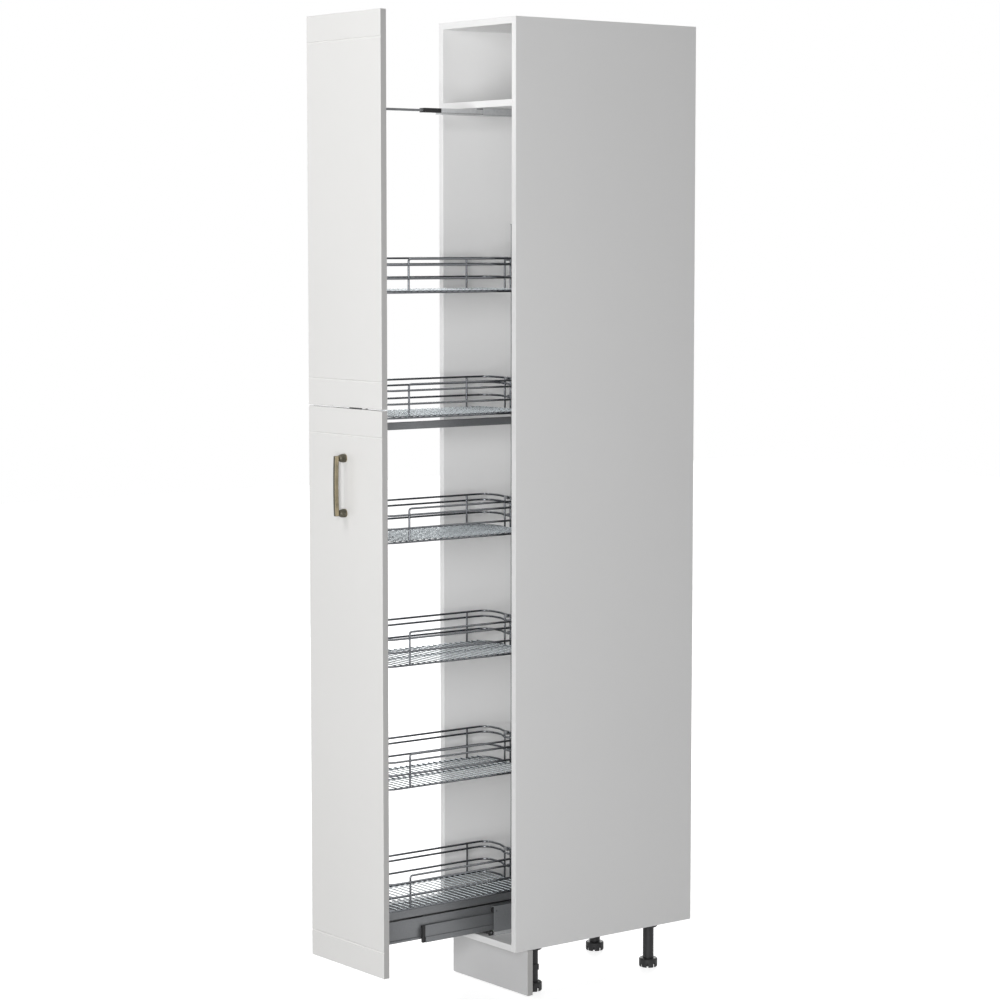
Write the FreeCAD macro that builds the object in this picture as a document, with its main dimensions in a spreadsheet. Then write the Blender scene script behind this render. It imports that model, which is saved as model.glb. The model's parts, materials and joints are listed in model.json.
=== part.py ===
import FreeCAD, Part

import math
import os
import re

import Sketcher
from FreeCAD import Placement, Rotation, Vector

# Pull-out larder unit: a tall narrow carcass on four legs, two fronts on one sliding frame,
# and six wire baskets hung between the frame's posts.
# Frame: X is the width, Y runs from the fronts (-Y) to the wall (+Y), Z is up, the floor is z = 0.
# The frame is modelled partly pulled out, by rest_pull.  All lengths are millimetres.

SIZES = (
    # carcass
    ("carcass_width", 300),
    ("carcass_depth", 560),
    ("carcass_height", 2220),
    ("floor_gap", 114),
    ("board", 16),
    ("board_edge_radius", 1),
    ("back_board", 3),
    ("back_inset", 16),
    ("back_groove", 8),
    ("groove_play", 0.4),
    ("top_bay", 175),
    ("fixing_rail_height", 100),
    ("fixing_hole_radius", 3),
    ("fixing_hole_spacing", 200),
    # board joints
    ("joint_inset", 28),
    ("joint_spacing", 28),
    ("dowel_radius", 4),
    ("dowel_length", 30),
    ("side_hole_depth", 10),
    ("cam_radius", 7.5),
    ("cam_height", 12),
    ("cam_end_distance", 24),
    ("cam_bolt_radius", 3),
    # wood screws and machine screws
    ("wood_screw_radius", 1.9),
    ("wood_screw_length", 12),
    ("wood_head_radius", 3.8),
    ("wood_head_height", 2),
    ("bolt_radius", 2),
    ("bolt_head_radius", 4),
    ("bolt_head_height", 2.4),
    ("bolt_bite", 2),
    ("handle_bolt_bite", 8),
    ("head_chamfer", 0.8),
    ("recess_length", 4),
    ("recess_width", 0.9),
    ("recess_depth", 1.2),
    # legs
    ("leg_side_inset", 45),
    ("leg_front_inset", 88),
    ("leg_rear_inset", 101),
    ("socket_radius", 22.5),
    ("socket_height", 12),
    ("socket_ceiling", 2),
    ("socket_screw_circle", 18),
    ("socket_counterbore", 8),
    ("socket_chamfer", 1.5),
    ("column_radius", 13.5),
    ("column_bore", 5),
    ("bore_height", 45),
    ("foot_radius", 23),
    ("foot_height", 22),
    ("foot_wall", 3),
    ("foot_ceiling", 6),
    ("foot_hub", 8),
    ("foot_round", 2),
    ("notch_width", 4.5),
    ("notch_height", 11),
    ("stem_height", 30),
    ("fit_play", 0.08),
    ("turn_play", 0.3),
    # plinth
    ("plinth_recess", 38),
    ("plinth_side_gap", 1),
    ("plinth_floor_gap", 2),
    ("plinth_top_gap", 2),
    ("clip_plate", 5),
    ("clip_plate_height", 34),
    ("clip_arm", 3),
    ("clip_height", 14),
    ("clip_play", 0.4),
    ("clip_level", 60),
    ("clip_screw_offset", 11),
    # bottom runner: fixed housing, middle member and moving rail
    ("runner_length", 500),
    ("housing_setback", 26),
    ("housing_width", 68),
    ("housing_height", 69),
    ("housing_wall", 2),
    ("housing_lip", 12),
    ("tray_floor", 3),
    ("tray_lip", 1.5),
    ("tray_height", 9),
    ("tray_screw_offset", 27),
    ("tray_screw_inset", 40),
    ("middle_half", 26),
    ("middle_shoulder", 23.5),
    ("middle_cavity", 21.5),
    ("middle_lift", 12),
    ("middle_foot", 13),
    ("middle_height", 41),
    ("middle_floor", 2),
    ("middle_front_gap", 1.5),
    ("middle_stop_length", 8),
    ("middle_stop_play", 1.5),
    ("middle_mouth", 28),
    ("rail_half", 16),
    ("rail_web", 12.5),
    ("rail_lift", 20),
    ("rail_height", 53),
    ("rail_foot", 5),
    ("rail_head", 26),
    ("rail_wall", 2.5),
    ("spacer_height", 3),
    ("spacer_width", 16),
    ("spacer_length", 30),
    ("glide_play", 0.3),
    ("housing_glide_half", 18),
    ("middle_glide_half", 11),
    # rollers
    ("mouth_roller_radius", 5),
    ("mouth_roller_half", 24),
    ("mouth_roller_advance", 6),
    ("mouth_cheek", 5),
    ("mouth_cheek_gap", 1),
    ("upper_roller_radius", 7),
    ("upper_roller_inner", 20.5),
    ("upper_roller_width", 11),
    ("middle_roller_radius", 10.7),
    ("middle_roller_width", 7),
    ("middle_roller_inset", 14),
    ("axle_radius", 2.5),
    # top guide
    ("guide_setback", 10),
    ("guide_length", 500),
    ("guide_half", 14),
    ("guide_wall", 1.5),
    ("guide_web", 2),
    ("guide_height", 16),
    ("guide_lip", 3.2),
    ("guide_lip_height", 1.5),
    ("guide_screw_inset", 30),
    ("slide_half", 12),
    ("slide_neck", 10.5),
    ("slide_drop", 4.5),
    ("slide_height", 14),
    ("slide_cavity_half", 8.5),
    ("slide_cavity_drop", 6),
    ("slide_cavity_height", 8),
    ("slide_length", 370),
    ("slide_closed_setback", 71),
    ("block_length", 48),
    ("block_half", 10.3),
    ("block_height", 10),
    ("bar_half", 5),
    ("bar_drop", 7),
    ("bar_height", 5.5),
    ("bar_corner", 1),
    ("bar_length", 424),
    ("slider_length", 20),
    # moving frame
    ("rest_pull", 369),
    ("closed_gap", 2),
    ("post_gap", 5),
    ("post_width", 24),
    ("post_depth", 16),
    ("post_wall", 1.5),
    ("post_corner", 2),
    ("front_post_drop", 19),
    ("rear_post_top", 1853),
    ("plug_depth", 18),
    ("plug_cap", 1.5),
    ("base_bar_width", 30),
    ("base_bar_height", 40),
    ("base_bar_wall", 2),
    ("base_bar_corner", 3),
    ("crossbar_width", 10),
    ("crossbar_height", 18),
    ("crossbar_drop", 17),
    ("crossbar_corner", 1.5),
    # baskets
    ("basket_level", 255),
    ("basket_pitch", 288),
    ("basket_width", 210),
    ("basket_length", 453),
    ("basket_end_gap", 3),
    ("basket_corner", 30),
    ("hanger_half", 11),
    ("hanger_notch", 15),
    ("hanger_bend", 4),
    ("notch_bend", 5),
    ("wire_radius", 2.5),
    ("stay_radius", 2.2),
    ("cross_wire_radius", 1.5),
    ("cross_wire_pitch", 16.7),
    ("cross_wire_proud", 1.2),
    ("cross_wire_sink", 0.6),
    ("low_wire_height", 32),
    ("high_wire_height", 63),
    ("side_rail_height", 77),
    ("side_rail_front", 71),
    ("side_rail_rear", 63),
    ("side_rail_bend", 6),
    ("side_rail_sink", 0.75),
    ("hook_half", 5),
    ("hook_plate_half", 8),
    ("hook_plate", 2),
    ("hook_thickness", 4),
    ("hook_lip", 3.5),
    ("hook_lip_height", 5.5),
    ("hook_play", 0.3),
    ("hook_plate_drop", 62),
    # fronts
    ("front_board", 16),
    ("front_side_gap", 2),
    ("front_top_gap", 2),
    ("front_overhang", 2),
    ("front_split", 3),
    ("lower_front_height", 1316),
    ("front_edge_radius", 1.5),
    ("front_groove_inset", 62),
    ("front_groove_radius", 3),
    ("front_groove_depth", 1.4),
    ("bracket_half", 50),
    ("bracket_height", 60),
    ("bracket_plate", 3),
    ("bracket_cheek", 2.5),
    ("bracket_grip", 13),
    ("bracket_screw_x", 38),
    ("bracket_screw_z", 18),
    ("bracket_inset", 190),
    ("buffer_radius", 4),
    ("buffer_height", 1.8),
    ("buffer_inset", 7),
    ("buffer_end_inset", 110),
    # handle
    ("handle_level", 1248.5),
    ("handle_centres", 128),
    ("handle_reach", 31),
    ("handle_bow", 1.6),
    ("handle_bar_width", 8),
    ("handle_bar_depth", 11),
    ("handle_bar_over", 6),
    ("handle_base_radius", 10),
    ("handle_base_height", 2.5),
    ("handle_bell_radius", 9.8),
    ("handle_bell_height", 11),
    ("handle_shoulder_radius", 8.6),
    ("handle_shoulder_height", 16.5),
    ("handle_neck_radius", 3.9),
    ("handle_neck_start", 18),
    ("handle_edge_radius", 1.6),
)
ALIASES = {name for name, _ in SIZES}

BASKET_COUNT = 6
CROSSBAR_BASKET = 4
NOTCH_COUNT = 8
SOCKET_SCREWS = 4
FRAME_BOLTS = 4
OVERRUN = 1.0
TOLERANCE = 0.001

# places that several pieces share, as formulas in the sheet's sizes
HALF_WIDTH = "(carcass_width / 2)"
INNER_HALF = "(carcass_width / 2 - board)"
CARCASS_FRONT = "((rest_pull + front_board + handle_reach - carcass_depth) / 2)"
CARCASS_REAR = f"({CARCASS_FRONT} + carcass_depth)"
CARCASS_TOP = "(floor_gap + carcass_height)"
FLOOR_LEVEL = "(floor_gap + board)"
BACK_FACE = f"({CARCASS_REAR} - back_inset - back_board)"
SHELF_LEVEL = f"({CARCASS_TOP} - 2 * board - top_bay)"

DOOR_REAR = f"({CARCASS_FRONT} - rest_pull)"
POST_FRONT = f"({DOOR_REAR} + post_gap)"
POST_REAR = f"({POST_FRONT} + post_depth)"
BASKET_FRONT = f"({POST_REAR} + basket_end_gap)"
BASKET_REAR = f"({BASKET_FRONT} + basket_length)"
REAR_POST = f"({BASKET_REAR} + basket_end_gap)"
HALF_TRAVEL = "((rest_pull - closed_gap) / 2)"

HOUSING_FRONT = f"({CARCASS_FRONT} + housing_setback)"
HOUSING_LEVEL = f"({FLOOR_LEVEL} + tray_floor)"
MIDDLE_FRONT = f"({CARCASS_FRONT} + middle_front_gap + middle_stop_length - {HALF_TRAVEL})"
MIDDLE_LEVEL = f"({FLOOR_LEVEL} + middle_lift)"
MIDDLE_TOP = f"({MIDDLE_LEVEL} + middle_height)"
RAIL_LEVEL = f"({FLOOR_LEVEL} + rail_lift)"
RAIL_TOP = f"({RAIL_LEVEL} + rail_height)"
BAR_LEVEL = f"({RAIL_TOP} + spacer_height)"

GUIDE_FRONT = f"({CARCASS_FRONT} + guide_setback)"
SLIDE_FRONT = f"({CARCASS_FRONT} + slide_closed_setback - {HALF_TRAVEL})"
GUIDE_BAR_TOP = f"({SHELF_LEVEL} - bar_drop)"
FRONT_POST_TOP = f"({SHELF_LEVEL} - front_post_drop)"

FRONT_BOTTOM = "(floor_gap - front_overhang)"
UPPER_FRONT_BOTTOM = f"({FRONT_BOTTOM} + lower_front_height + front_split)"
UPPER_FRONT_TOP = f"({CARCASS_TOP} - front_top_gap)"

DOC = FreeCAD.newDocument("pull_out_larder")
SHEET = DOC.addObject("Spreadsheet::Sheet", "Sizes")
PIECES = []


# ---------------------------------------------------------------- helpers

def fill_sheet():
    """Write every driving size into the sheet, with its name beside it."""
    for row, (name, size) in enumerate(SIZES, start=1):
        SHEET.set(f"A{row}", name.replace("_", " "))
        SHEET.set(f"B{row}", str(size))
        SHEET.setAlias(f"B{row}", name)
    DOC.recompute()


def bound(formula):
    """A formula in plain aliases, as an expression that reads the sheet."""
    def named(match):
        word = match.group()
        return f"Sizes.{word}" if word in ALIASES else word
    return re.sub(r"[a-z][a-z_]+", named, str(formula))


def size(formula):
    """The present value of a formula in the sheet's sizes."""
    return float(SHEET.evalExpression(bound(formula)))


def point(x, y, z):
    return Vector(size(x), size(y), size(z))


def place(item, corner, rotation=None):
    """Bind an object's position to the sheet, after turning it."""
    if rotation is not None:
        item.Placement = Placement(Vector(), rotation)
    for axis, formula in zip("xyz", corner):
        item.setExpression(f"Placement.Base.{axis}", bound(formula))
    return item


def keep(item, label):
    """Name an object as one of the unit's sub-parts."""
    item.Label = label
    PIECES.append(item)
    return item


def block(name, corner, extent):
    """A box from its lowest corner."""
    item = DOC.addObject("Part::Box", name)
    for side, formula in zip(("Length", "Width", "Height"), extent):
        item.setExpression(side, bound(formula))
    return place(item, corner)


def eased(name, item, radius, wanted):
    """A box with the wanted edges rounded."""
    DOC.recompute()
    rounded = DOC.addObject("Part::Fillet", name)
    rounded.Base = item
    bend = size(radius)
    rounded.Edges = [(number, bend, bend) for number, edge in enumerate(item.Shape.Edges, start=1)
                     if wanted(edge, item.Shape.BoundBox)]
    return rounded


def on_front(edge, box):
    """True for the edges of a box's face towards -Y."""
    return edge.BoundBox.YMax - box.YMin < TOLERANCE


def upright(edge, box):
    """True for a box's edges along Z."""
    return abs(edge.BoundBox.ZLength - box.ZLength) < TOLERANCE


def lengthwise(edge, box):
    """True for a box's edges along Y."""
    return abs(edge.BoundBox.YLength - box.YLength) < TOLERANCE


TURNS = {
    "x": Rotation(Vector(0, 1, 0), 90),
    "y": Rotation(Vector(1, 0, 0), -90),
    "z": Rotation(),
}


def rod(name, start, radius, length, axis="z"):
    """A cylinder from the centre of its first end, along one axis."""
    item = DOC.addObject("Part::Cylinder", name)
    item.setExpression("Radius", bound(radius))
    item.setExpression("Height", bound(length))
    return place(item, start, TURNS[axis])


def group(name, items):
    """Several separate solids as one object."""
    item = DOC.addObject("Part::Compound", name)
    item.Links = items
    return item


def cut(name, base, tools):
    """A base less one tool, or less all of a list of separate tools."""
    item = DOC.addObject("Part::Cut", name)
    item.Base = base
    item.Tool = tools[0] if len(tools) == 1 else group(f"{name}_tools", tools)
    return item


def fuse(name, items):
    item = DOC.addObject("Part::MultiFuse", name)
    item.Shapes = items
    return item


def origin_plane(body, role):
    return next(item for item in body.Origin.OriginFeatures if item.Role == role)


def outline(body, name, role, points):
    """A closed polygon sketch, each corner bound to a pair of formulas."""
    sketch = body.newObject("Sketcher::SketchObject", name)
    sketch.AttachmentSupport = [(origin_plane(body, role), "")]
    sketch.MapMode = "FlatFace"
    add_polygon(sketch, points)
    return sketch


def add_polygon(sketch, points):
    corners = [Vector(size(x), size(y), 0) for x, y in points]
    first = sketch.GeometryCount
    count = len(corners)
    for index, corner in enumerate(corners):
        sketch.addGeometry(Part.LineSegment(corner, corners[(index + 1) % count]), False)
    for index in range(count):
        sketch.addConstraint(Sketcher.Constraint(
            "Coincident", first + index, 2, first + (index + 1) % count, 1))
    for index, (corner, formulas) in enumerate(zip(corners, points)):
        for kind, number, formula in zip(("DistanceX", "DistanceY"), corner, formulas):
            tie = sketch.addConstraint(Sketcher.Constraint(kind, -1, 1, first + index, 1, number))
            sketch.setExpression(f"Constraints[{tie}]", bound(formula))


def mirrored(points):
    """A right-hand outline, bottom to top, closed with its mirror image."""
    return points + [(f"-({x})", y) for x, y in reversed(points)]


def extrusion(name, start, points, length, holes=()):
    """A profile in X and Z, extruded towards +Y from start."""
    body = DOC.addObject("PartDesign::Body", name)
    sketch = outline(body, f"{name}_profile", "XZ_Plane", points)
    for hole in holes:
        add_polygon(sketch, hole)
    pad = body.newObject("PartDesign::Pad", f"{name}_length")
    pad.Profile = sketch
    pad.Reversed = True
    pad.setExpression("Length", bound(length))
    body.Tip = pad
    return place(body, start)


def turned(name, start, points):
    """A profile in radius and height, revolved about a vertical axis at start."""
    body = DOC.addObject("PartDesign::Body", name)
    sketch = outline(body, f"{name}_profile", "XZ_Plane", points)
    spin = body.newObject("PartDesign::Revolution", f"{name}_turned")
    spin.Profile = sketch
    spin.ReferenceAxis = (sketch, ["V_Axis"])
    spin.Angle = 360
    body.Tip = spin
    return place(body, start)


def pocket_pattern(body, name, centre, half_sizes, depth, count, up):
    """A rectangular pocket from the plane z = 0 of a body, repeated about its axis."""
    x, y = centre
    half_x, half_y = half_sizes
    corners = [(f"{x} - {half_x}", f"{y} - {half_y}"), (f"{x} + {half_x}", f"{y} - {half_y}"),
               (f"{x} + {half_x}", f"{y} + {half_y}"), (f"{x} - {half_x}", f"{y} + {half_y}")]
    sketch = outline(body, f"{name}_outline", "XY_Plane", corners)
    return repeated(body, name, pocket(body, name, sketch, depth, up), sketch, count)


def pocket(body, name, sketch, depth, up):
    feature = body.newObject("PartDesign::Pocket", name)
    feature.Profile = sketch
    feature.Reversed = up
    feature.setExpression("Length", bound(depth))
    body.Tip = feature
    return feature


def repeated(body, name, feature, sketch, count):
    """A polar pattern of one feature about the sketch's normal."""
    pattern = body.newObject("PartDesign::PolarPattern", f"{name}_pattern")
    pattern.Originals = [feature]
    pattern.Axis = (sketch, ["N_Axis"])
    pattern.Angle = 360
    pattern.Occurrences = count
    body.Tip = pattern
    return pattern


def round_pocket(body, name, radius, centre_x, depth, up):
    """One round pocket from the plane z = 0, at a distance from the body's axis."""
    sketch = body.newObject("Sketcher::SketchObject", f"{name}_outline")
    sketch.AttachmentSupport = [(origin_plane(body, "XY_Plane"), "")]
    sketch.MapMode = "FlatFace"
    centre = Vector(size(centre_x), 0, 0)
    sketch.addGeometry(Part.Circle(centre, Vector(0, 0, 1), size(radius)), False)
    ties = (("DistanceX", -1, 1, 0, 3, centre.x, centre_x), ("DistanceY", -1, 1, 0, 3, 0.0, "0"))
    for kind, first, first_point, second, second_point, number, formula in ties:
        tie = sketch.addConstraint(Sketcher.Constraint(
            kind, first, first_point, second, second_point, number))
        sketch.setExpression(f"Constraints[{tie}]", bound(formula))
    tie = sketch.addConstraint(Sketcher.Constraint("Radius", 0, size(radius)))
    sketch.setExpression(f"Constraints[{tie}]", bound(radius))
    return sketch, pocket(body, name, sketch, depth, up)


def feature(name, shape):
    """An object whose shape is computed from the sheet's sizes."""
    item = DOC.addObject("Part::Feature", name)
    item.Shape = shape
    item.Placement = Placement()
    return item


def copies(name, master, moves):
    """Separate copies of one parametric piece, each moved by a vector."""
    DOC.recompute()
    shapes = []
    for move in moves:
        shape = master.Shape.copy()
        shape.translate(move)
        shapes.append(shape)
    return feature(name, Part.makeCompound(shapes))


def screw_shape(head_radius, head_height, radius, length):
    """A round-headed screw: underside of the head at the origin, shank towards -Z."""
    head = Part.makeCylinder(head_radius, head_height)
    rim = [edge for edge in head.Edges if is_top_rim(edge, head_height)]
    head = head.makeChamfer(size("head_chamfer"), rim)
    shank = Part.makeCylinder(radius, length, Vector(0, 0, -length))
    body = head.fuse(shank).removeSplitter()
    long, wide, deep = size("recess_length"), size("recess_width"), size("recess_depth")
    slot = Part.makeBox(long, wide, deep, Vector(-long / 2, -wide / 2, head_height - deep))
    across = slot.copy()
    across.rotate(Vector(), Vector(0, 0, 1), 90)
    return body.cut(slot.fuse(across))


def is_top_rim(edge, level):
    box = edge.BoundBox
    return box.ZLength < TOLERANCE and abs(box.ZMax - level) < TOLERANCE and edge.Closed


def wood_screw():
    return screw_shape(size("wood_head_radius"), size("wood_head_height"),
                       size("wood_screw_radius"), size("wood_screw_length"))


def screws(name, shape, *rows):
    """Copies of a screw for rows of (seats, direction): head on each seat, shank along direction."""
    shapes = []
    for seats, direction in rows:
        turn = Rotation(Vector(0, 0, -1), direction)
        for seat in seats:
            one = shape.copy()
            one.Placement = Placement(seat, turn)
            shapes.append(one)
    return keep(feature(name, Part.makeCompound(shapes)), name)


def pilot_holes(name, seats, direction, radius, length):
    """Round cutting tools along the shanks, starting a little before each seat."""
    shapes = [Part.makeCylinder(radius, length + OVERRUN, seat - direction * OVERRUN, direction)
              for seat in seats]
    return feature(name, Part.makeCompound(shapes))


# ---------------------------------------------------------------- carcass

def joint_levels():
    """Mid-height of the three horizontal boards, with the face their cams are set in."""
    return (
        ("bottom", "(floor_gap + board / 2)", "below"),
        ("shelf", f"({SHELF_LEVEL} + board / 2)", "below"),
        ("top", f"({CARCASS_TOP} - board / 2)", "above"),
    )


def joint_depths(item):
    """Distances of the dowels or of the cams from the carcass front."""
    extra = " + joint_spacing" if item == "dowel" else ""
    inset = f"joint_inset{extra}"
    return (f"({CARCASS_FRONT} + {inset})", f"({CARCASS_REAR} - ({inset}))")


def joint_rods(name, item, radius, length):
    """Dowels or cam bolts of both ends of the three boards, by board."""
    made = {}
    for board_name, level, _ in joint_levels():
        row = []
        for number, depth in enumerate(joint_depths(item)):
            for side, start in (("left", f"-({INNER_HALF} + side_hole_depth)"),
                                ("right", f"{INNER_HALF} + side_hole_depth - ({length})")):
                row.append(rod(f"{name}_{board_name}_{side}_{number}", (start, depth, level),
                               radius, length, "x"))
        made[board_name] = row
    return made


def cam_rods():
    """Cam housings of the three boards, sunk from the hidden face."""
    made = {}
    for board_name, level, face in joint_levels():
        low = f"{level} - board / 2" if face == "below" else f"{level} + board / 2 - cam_height"
        made[board_name] = [
            rod(f"cam_{board_name}_{sign}_{number}",
                (f"{sign}1 * ({INNER_HALF} - cam_end_distance)", depth, low), "cam_radius", "cam_height")
            for number, depth in enumerate(joint_depths("cam")) for sign in ("-", "+")]
    return made


def carcass():
    bolt_length = "side_hole_depth + cam_end_distance - cam_radius - turn_play"
    dowels = joint_rods("dowel", "dowel", "dowel_radius", "dowel_length")
    bolts = joint_rods("cam_bolt", "cam", "cam_bolt_radius", bolt_length)
    cams = cam_rods()
    every = [item for made in (dowels, bolts) for row in made.values() for item in row]
    back_slot = block("back_slot", (f"-{INNER_HALF} - back_groove", f"{BACK_FACE} - groove_play / 2",
                                    "floor_gap + board - back_groove"),
                      (f"2 * {INNER_HALF} + 2 * back_groove", "back_board + groove_play",
                       "carcass_height - 2 * board + 2 * back_groove"))
    for side, corner in (("left", f"-{HALF_WIDTH}"), ("right", INNER_HALF)):
        panel = block(f"{side}_blank", (corner, CARCASS_FRONT, "floor_gap"),
                      ("board", "carcass_depth", "carcass_height"))
        banded = eased(f"{side}_banded", panel, "board_edge_radius", on_front)
        keep(cut(f"side_panel_{side}", banded, every + [back_slot]), f"side_panel_{side}")

    inner = (f"-{INNER_HALF}", CARCASS_FRONT)
    full = (f"2 * {INNER_HALF}", "carcass_depth", "board")
    bottom = banded_board("bottom", (*inner, "floor_gap"), full)
    top = banded_board("top", (*inner, f"{CARCASS_TOP} - board"), full)
    shelf = banded_board("shelf", (*inner, SHELF_LEVEL), (
        f"2 * {INNER_HALF}", "carcass_depth - back_inset - back_board - groove_play", "board"))
    tools = {name: dowels[name] + bolts[name] + cams[name] for name in dowels}
    keep(cut("top_panel", top, tools["top"] + [back_slot]), "top_panel")
    shelf_screws = guide_screw_holes("shelf_screw_holes")
    bottom_screws = [tray_screw_holes("board_screw_holes"), socket_screw_holes()]
    keep(cut("fixed_shelf", shelf, tools["shelf"] + [shelf_screws]), "fixed_shelf")
    keep(cut("bottom_panel", bottom, tools["bottom"] + [back_slot] + bottom_screws), "bottom_panel")

    back = block("back_blank", (f"-{INNER_HALF} - back_groove + groove_play", BACK_FACE,
                                "floor_gap + board - back_groove + groove_play"),
                 (f"2 * ({INNER_HALF} + back_groove - groove_play)", "back_board",
                  "carcass_height - 2 * (board - back_groove + groove_play)"))
    keep(cut("back_panel", back, fixing_holes("back")), "back_panel")
    rail = block("fixing_rail_blank", (f"-{INNER_HALF}", f"{BACK_FACE} + back_board",
                                       f"{CARCASS_TOP} - board - fixing_rail_height"),
                 (f"2 * {INNER_HALF}", "back_inset", "fixing_rail_height"))
    keep(cut("fixing_rail", rail, fixing_holes("rail")), "fixing_rail")

    keep(group("joint_dowels", [item for row in dowels.values() for item in row]), "joint_dowels")
    keep(group("cam_bolts", [item for row in bolts.values() for item in row]), "cam_bolts")
    keep(group("cam_housings", [item for row in cams.values() for item in row]), "cam_housings")


def banded_board(name, corner, extent):
    """A board between the sides, its long front edges rounded as the sides' are."""
    blank = block(f"{name}_blank", corner, extent)
    return eased(f"{name}_banded", blank, "board_edge_radius",
                 lambda edge, box: on_front(edge, box) and edge.BoundBox.XLength > edge.BoundBox.ZLength)


def fixing_holes(name):
    """The pair of wall fixing holes, through the back and the rail behind it."""
    level = f"{CARCASS_TOP} - board - fixing_rail_height / 2"
    return [rod(f"{name}_fixing_hole_{sign}", (f"{sign}1 * fixing_hole_spacing / 2", BACK_FACE, level),
                "fixing_hole_radius", "back_board + back_inset", "y") for sign in ("-", "+")]


# ---------------------------------------------------------------- legs and plinth

LEG_PLACES = tuple(
    (f"{row}_{side}", f"{sign}1 * ({HALF_WIDTH} - leg_side_inset)", depth)
    for row, depth in (("front", f"({CARCASS_FRONT} + leg_front_inset)"),
                       ("rear", f"({CARCASS_REAR} - leg_rear_inset)"))
    for side, sign in (("left", "-"), ("right", "+")))


def socket_screw_seats():
    """Where the socket screws' heads sit, on the steps of their counterbores."""
    circle = size("socket_screw_circle")
    seats = []
    for _, x, y in LEG_PLACES:
        centre = point(x, y, "floor_gap - socket_height + socket_counterbore")
        for number in range(SOCKET_SCREWS):
            angle = 2 * math.pi * (number + 0.5) / SOCKET_SCREWS
            seats.append(centre + Vector(circle * math.cos(angle), circle * math.sin(angle), 0))
    return seats


def socket_screw_holes():
    return pilot_holes("socket_screw_holes", socket_screw_seats(), Vector(0, 0, 1),
                       size("wood_screw_radius"), size("wood_screw_length"))


def legs():
    """Sockets under the bottom panel, columns in them, and screw feet."""
    x, y = LEG_PLACES[0][1:]
    socket = turned("socket", (x, y, "floor_gap - socket_height"), [
        ("column_radius + fit_play", "0"), ("socket_radius - socket_chamfer", "0"),
        ("socket_radius", "socket_chamfer"), ("socket_radius", "socket_height"),
        ("0", "socket_height"), ("0", "socket_height - socket_ceiling"),
        ("column_radius + fit_play", "socket_height - socket_ceiling")])
    counterbore, sunk = round_pocket(socket, "counterbore", "wood_head_radius + fit_play",
                                     "socket_screw_circle", "socket_counterbore", True)
    repeated(socket, "counterbore", sunk, counterbore, SOCKET_SCREWS)
    through, drilled = round_pocket(socket, "screw_hole", "wood_screw_radius",
                                    "socket_screw_circle", "socket_height", True)
    repeated(socket, "screw_hole", drilled, through, SOCKET_SCREWS)
    moves = [point(place_x, place_y, "0") - point(x, y, "0") for _, place_x, place_y in LEG_PLACES]
    turned_socket = copies("leg_sockets", socket, moves)
    turned_socket.Shape = Part.makeCompound([
        turn_about(one, point(place_x, place_y, "0"), 180.0 / SOCKET_SCREWS)
        for one, (_, place_x, place_y) in zip(turned_socket.Shape.Solids, LEG_PLACES)])
    keep(turned_socket, "leg_sockets")

    bottom = "foot_height + turn_play"
    top = "floor_gap - socket_ceiling"
    column = turned("column", (x, y, bottom), [
        ("column_bore", "0"), ("column_radius", "0"), ("column_radius", f"{top} - ({bottom})"),
        ("0", f"{top} - ({bottom})"), ("0", "bore_height"), ("column_bore", "bore_height")])
    keep(copies("leg_columns", column, moves), "leg_columns")
    for label, place_x, place_y in LEG_PLACES:
        keep(screw_foot(f"foot_{label}", place_x, place_y), f"foot_{label}")


def turn_about(shape, centre, angle):
    shape = shape.copy()
    shape.rotate(centre, Vector(0, 0, 1), angle)
    return shape


def screw_foot(name, x, y):
    """A notched cup foot with its threaded stem."""
    stem = "column_bore - fit_play"
    foot = turned(name, (x, y, "0"), [
        ("foot_radius - foot_wall", "0"), ("foot_radius - foot_round", "0"),
        ("foot_radius", "foot_round"), ("foot_radius", "foot_height - foot_round"),
        ("foot_radius - foot_round", "foot_height"), (stem, "foot_height"),
        (stem, "foot_height + stem_height"), ("0", "foot_height + stem_height"), ("0", "0"),
        ("foot_hub", "0"), ("foot_hub", "foot_height - foot_ceiling"),
        ("foot_radius - foot_wall", "foot_height - foot_ceiling")])
    pocket_pattern(foot, f"{name}_notch", ("foot_radius", "0"),
                   ("(foot_wall + foot_round)", "notch_width / 2"), "notch_height", NOTCH_COUNT, True)
    return foot


def clip_screw_seats():
    """Two screws for each plinth clip, one each side of its arms."""
    seats = []
    for _, x, _ in LEG_PLACES[:2]:
        for sign in ("-", "+"):
            seats.append(point(x, f"{CARCASS_FRONT} + plinth_recess + board + clip_plate",
                               f"clip_level {sign} clip_screw_offset"))
    return seats


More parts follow.
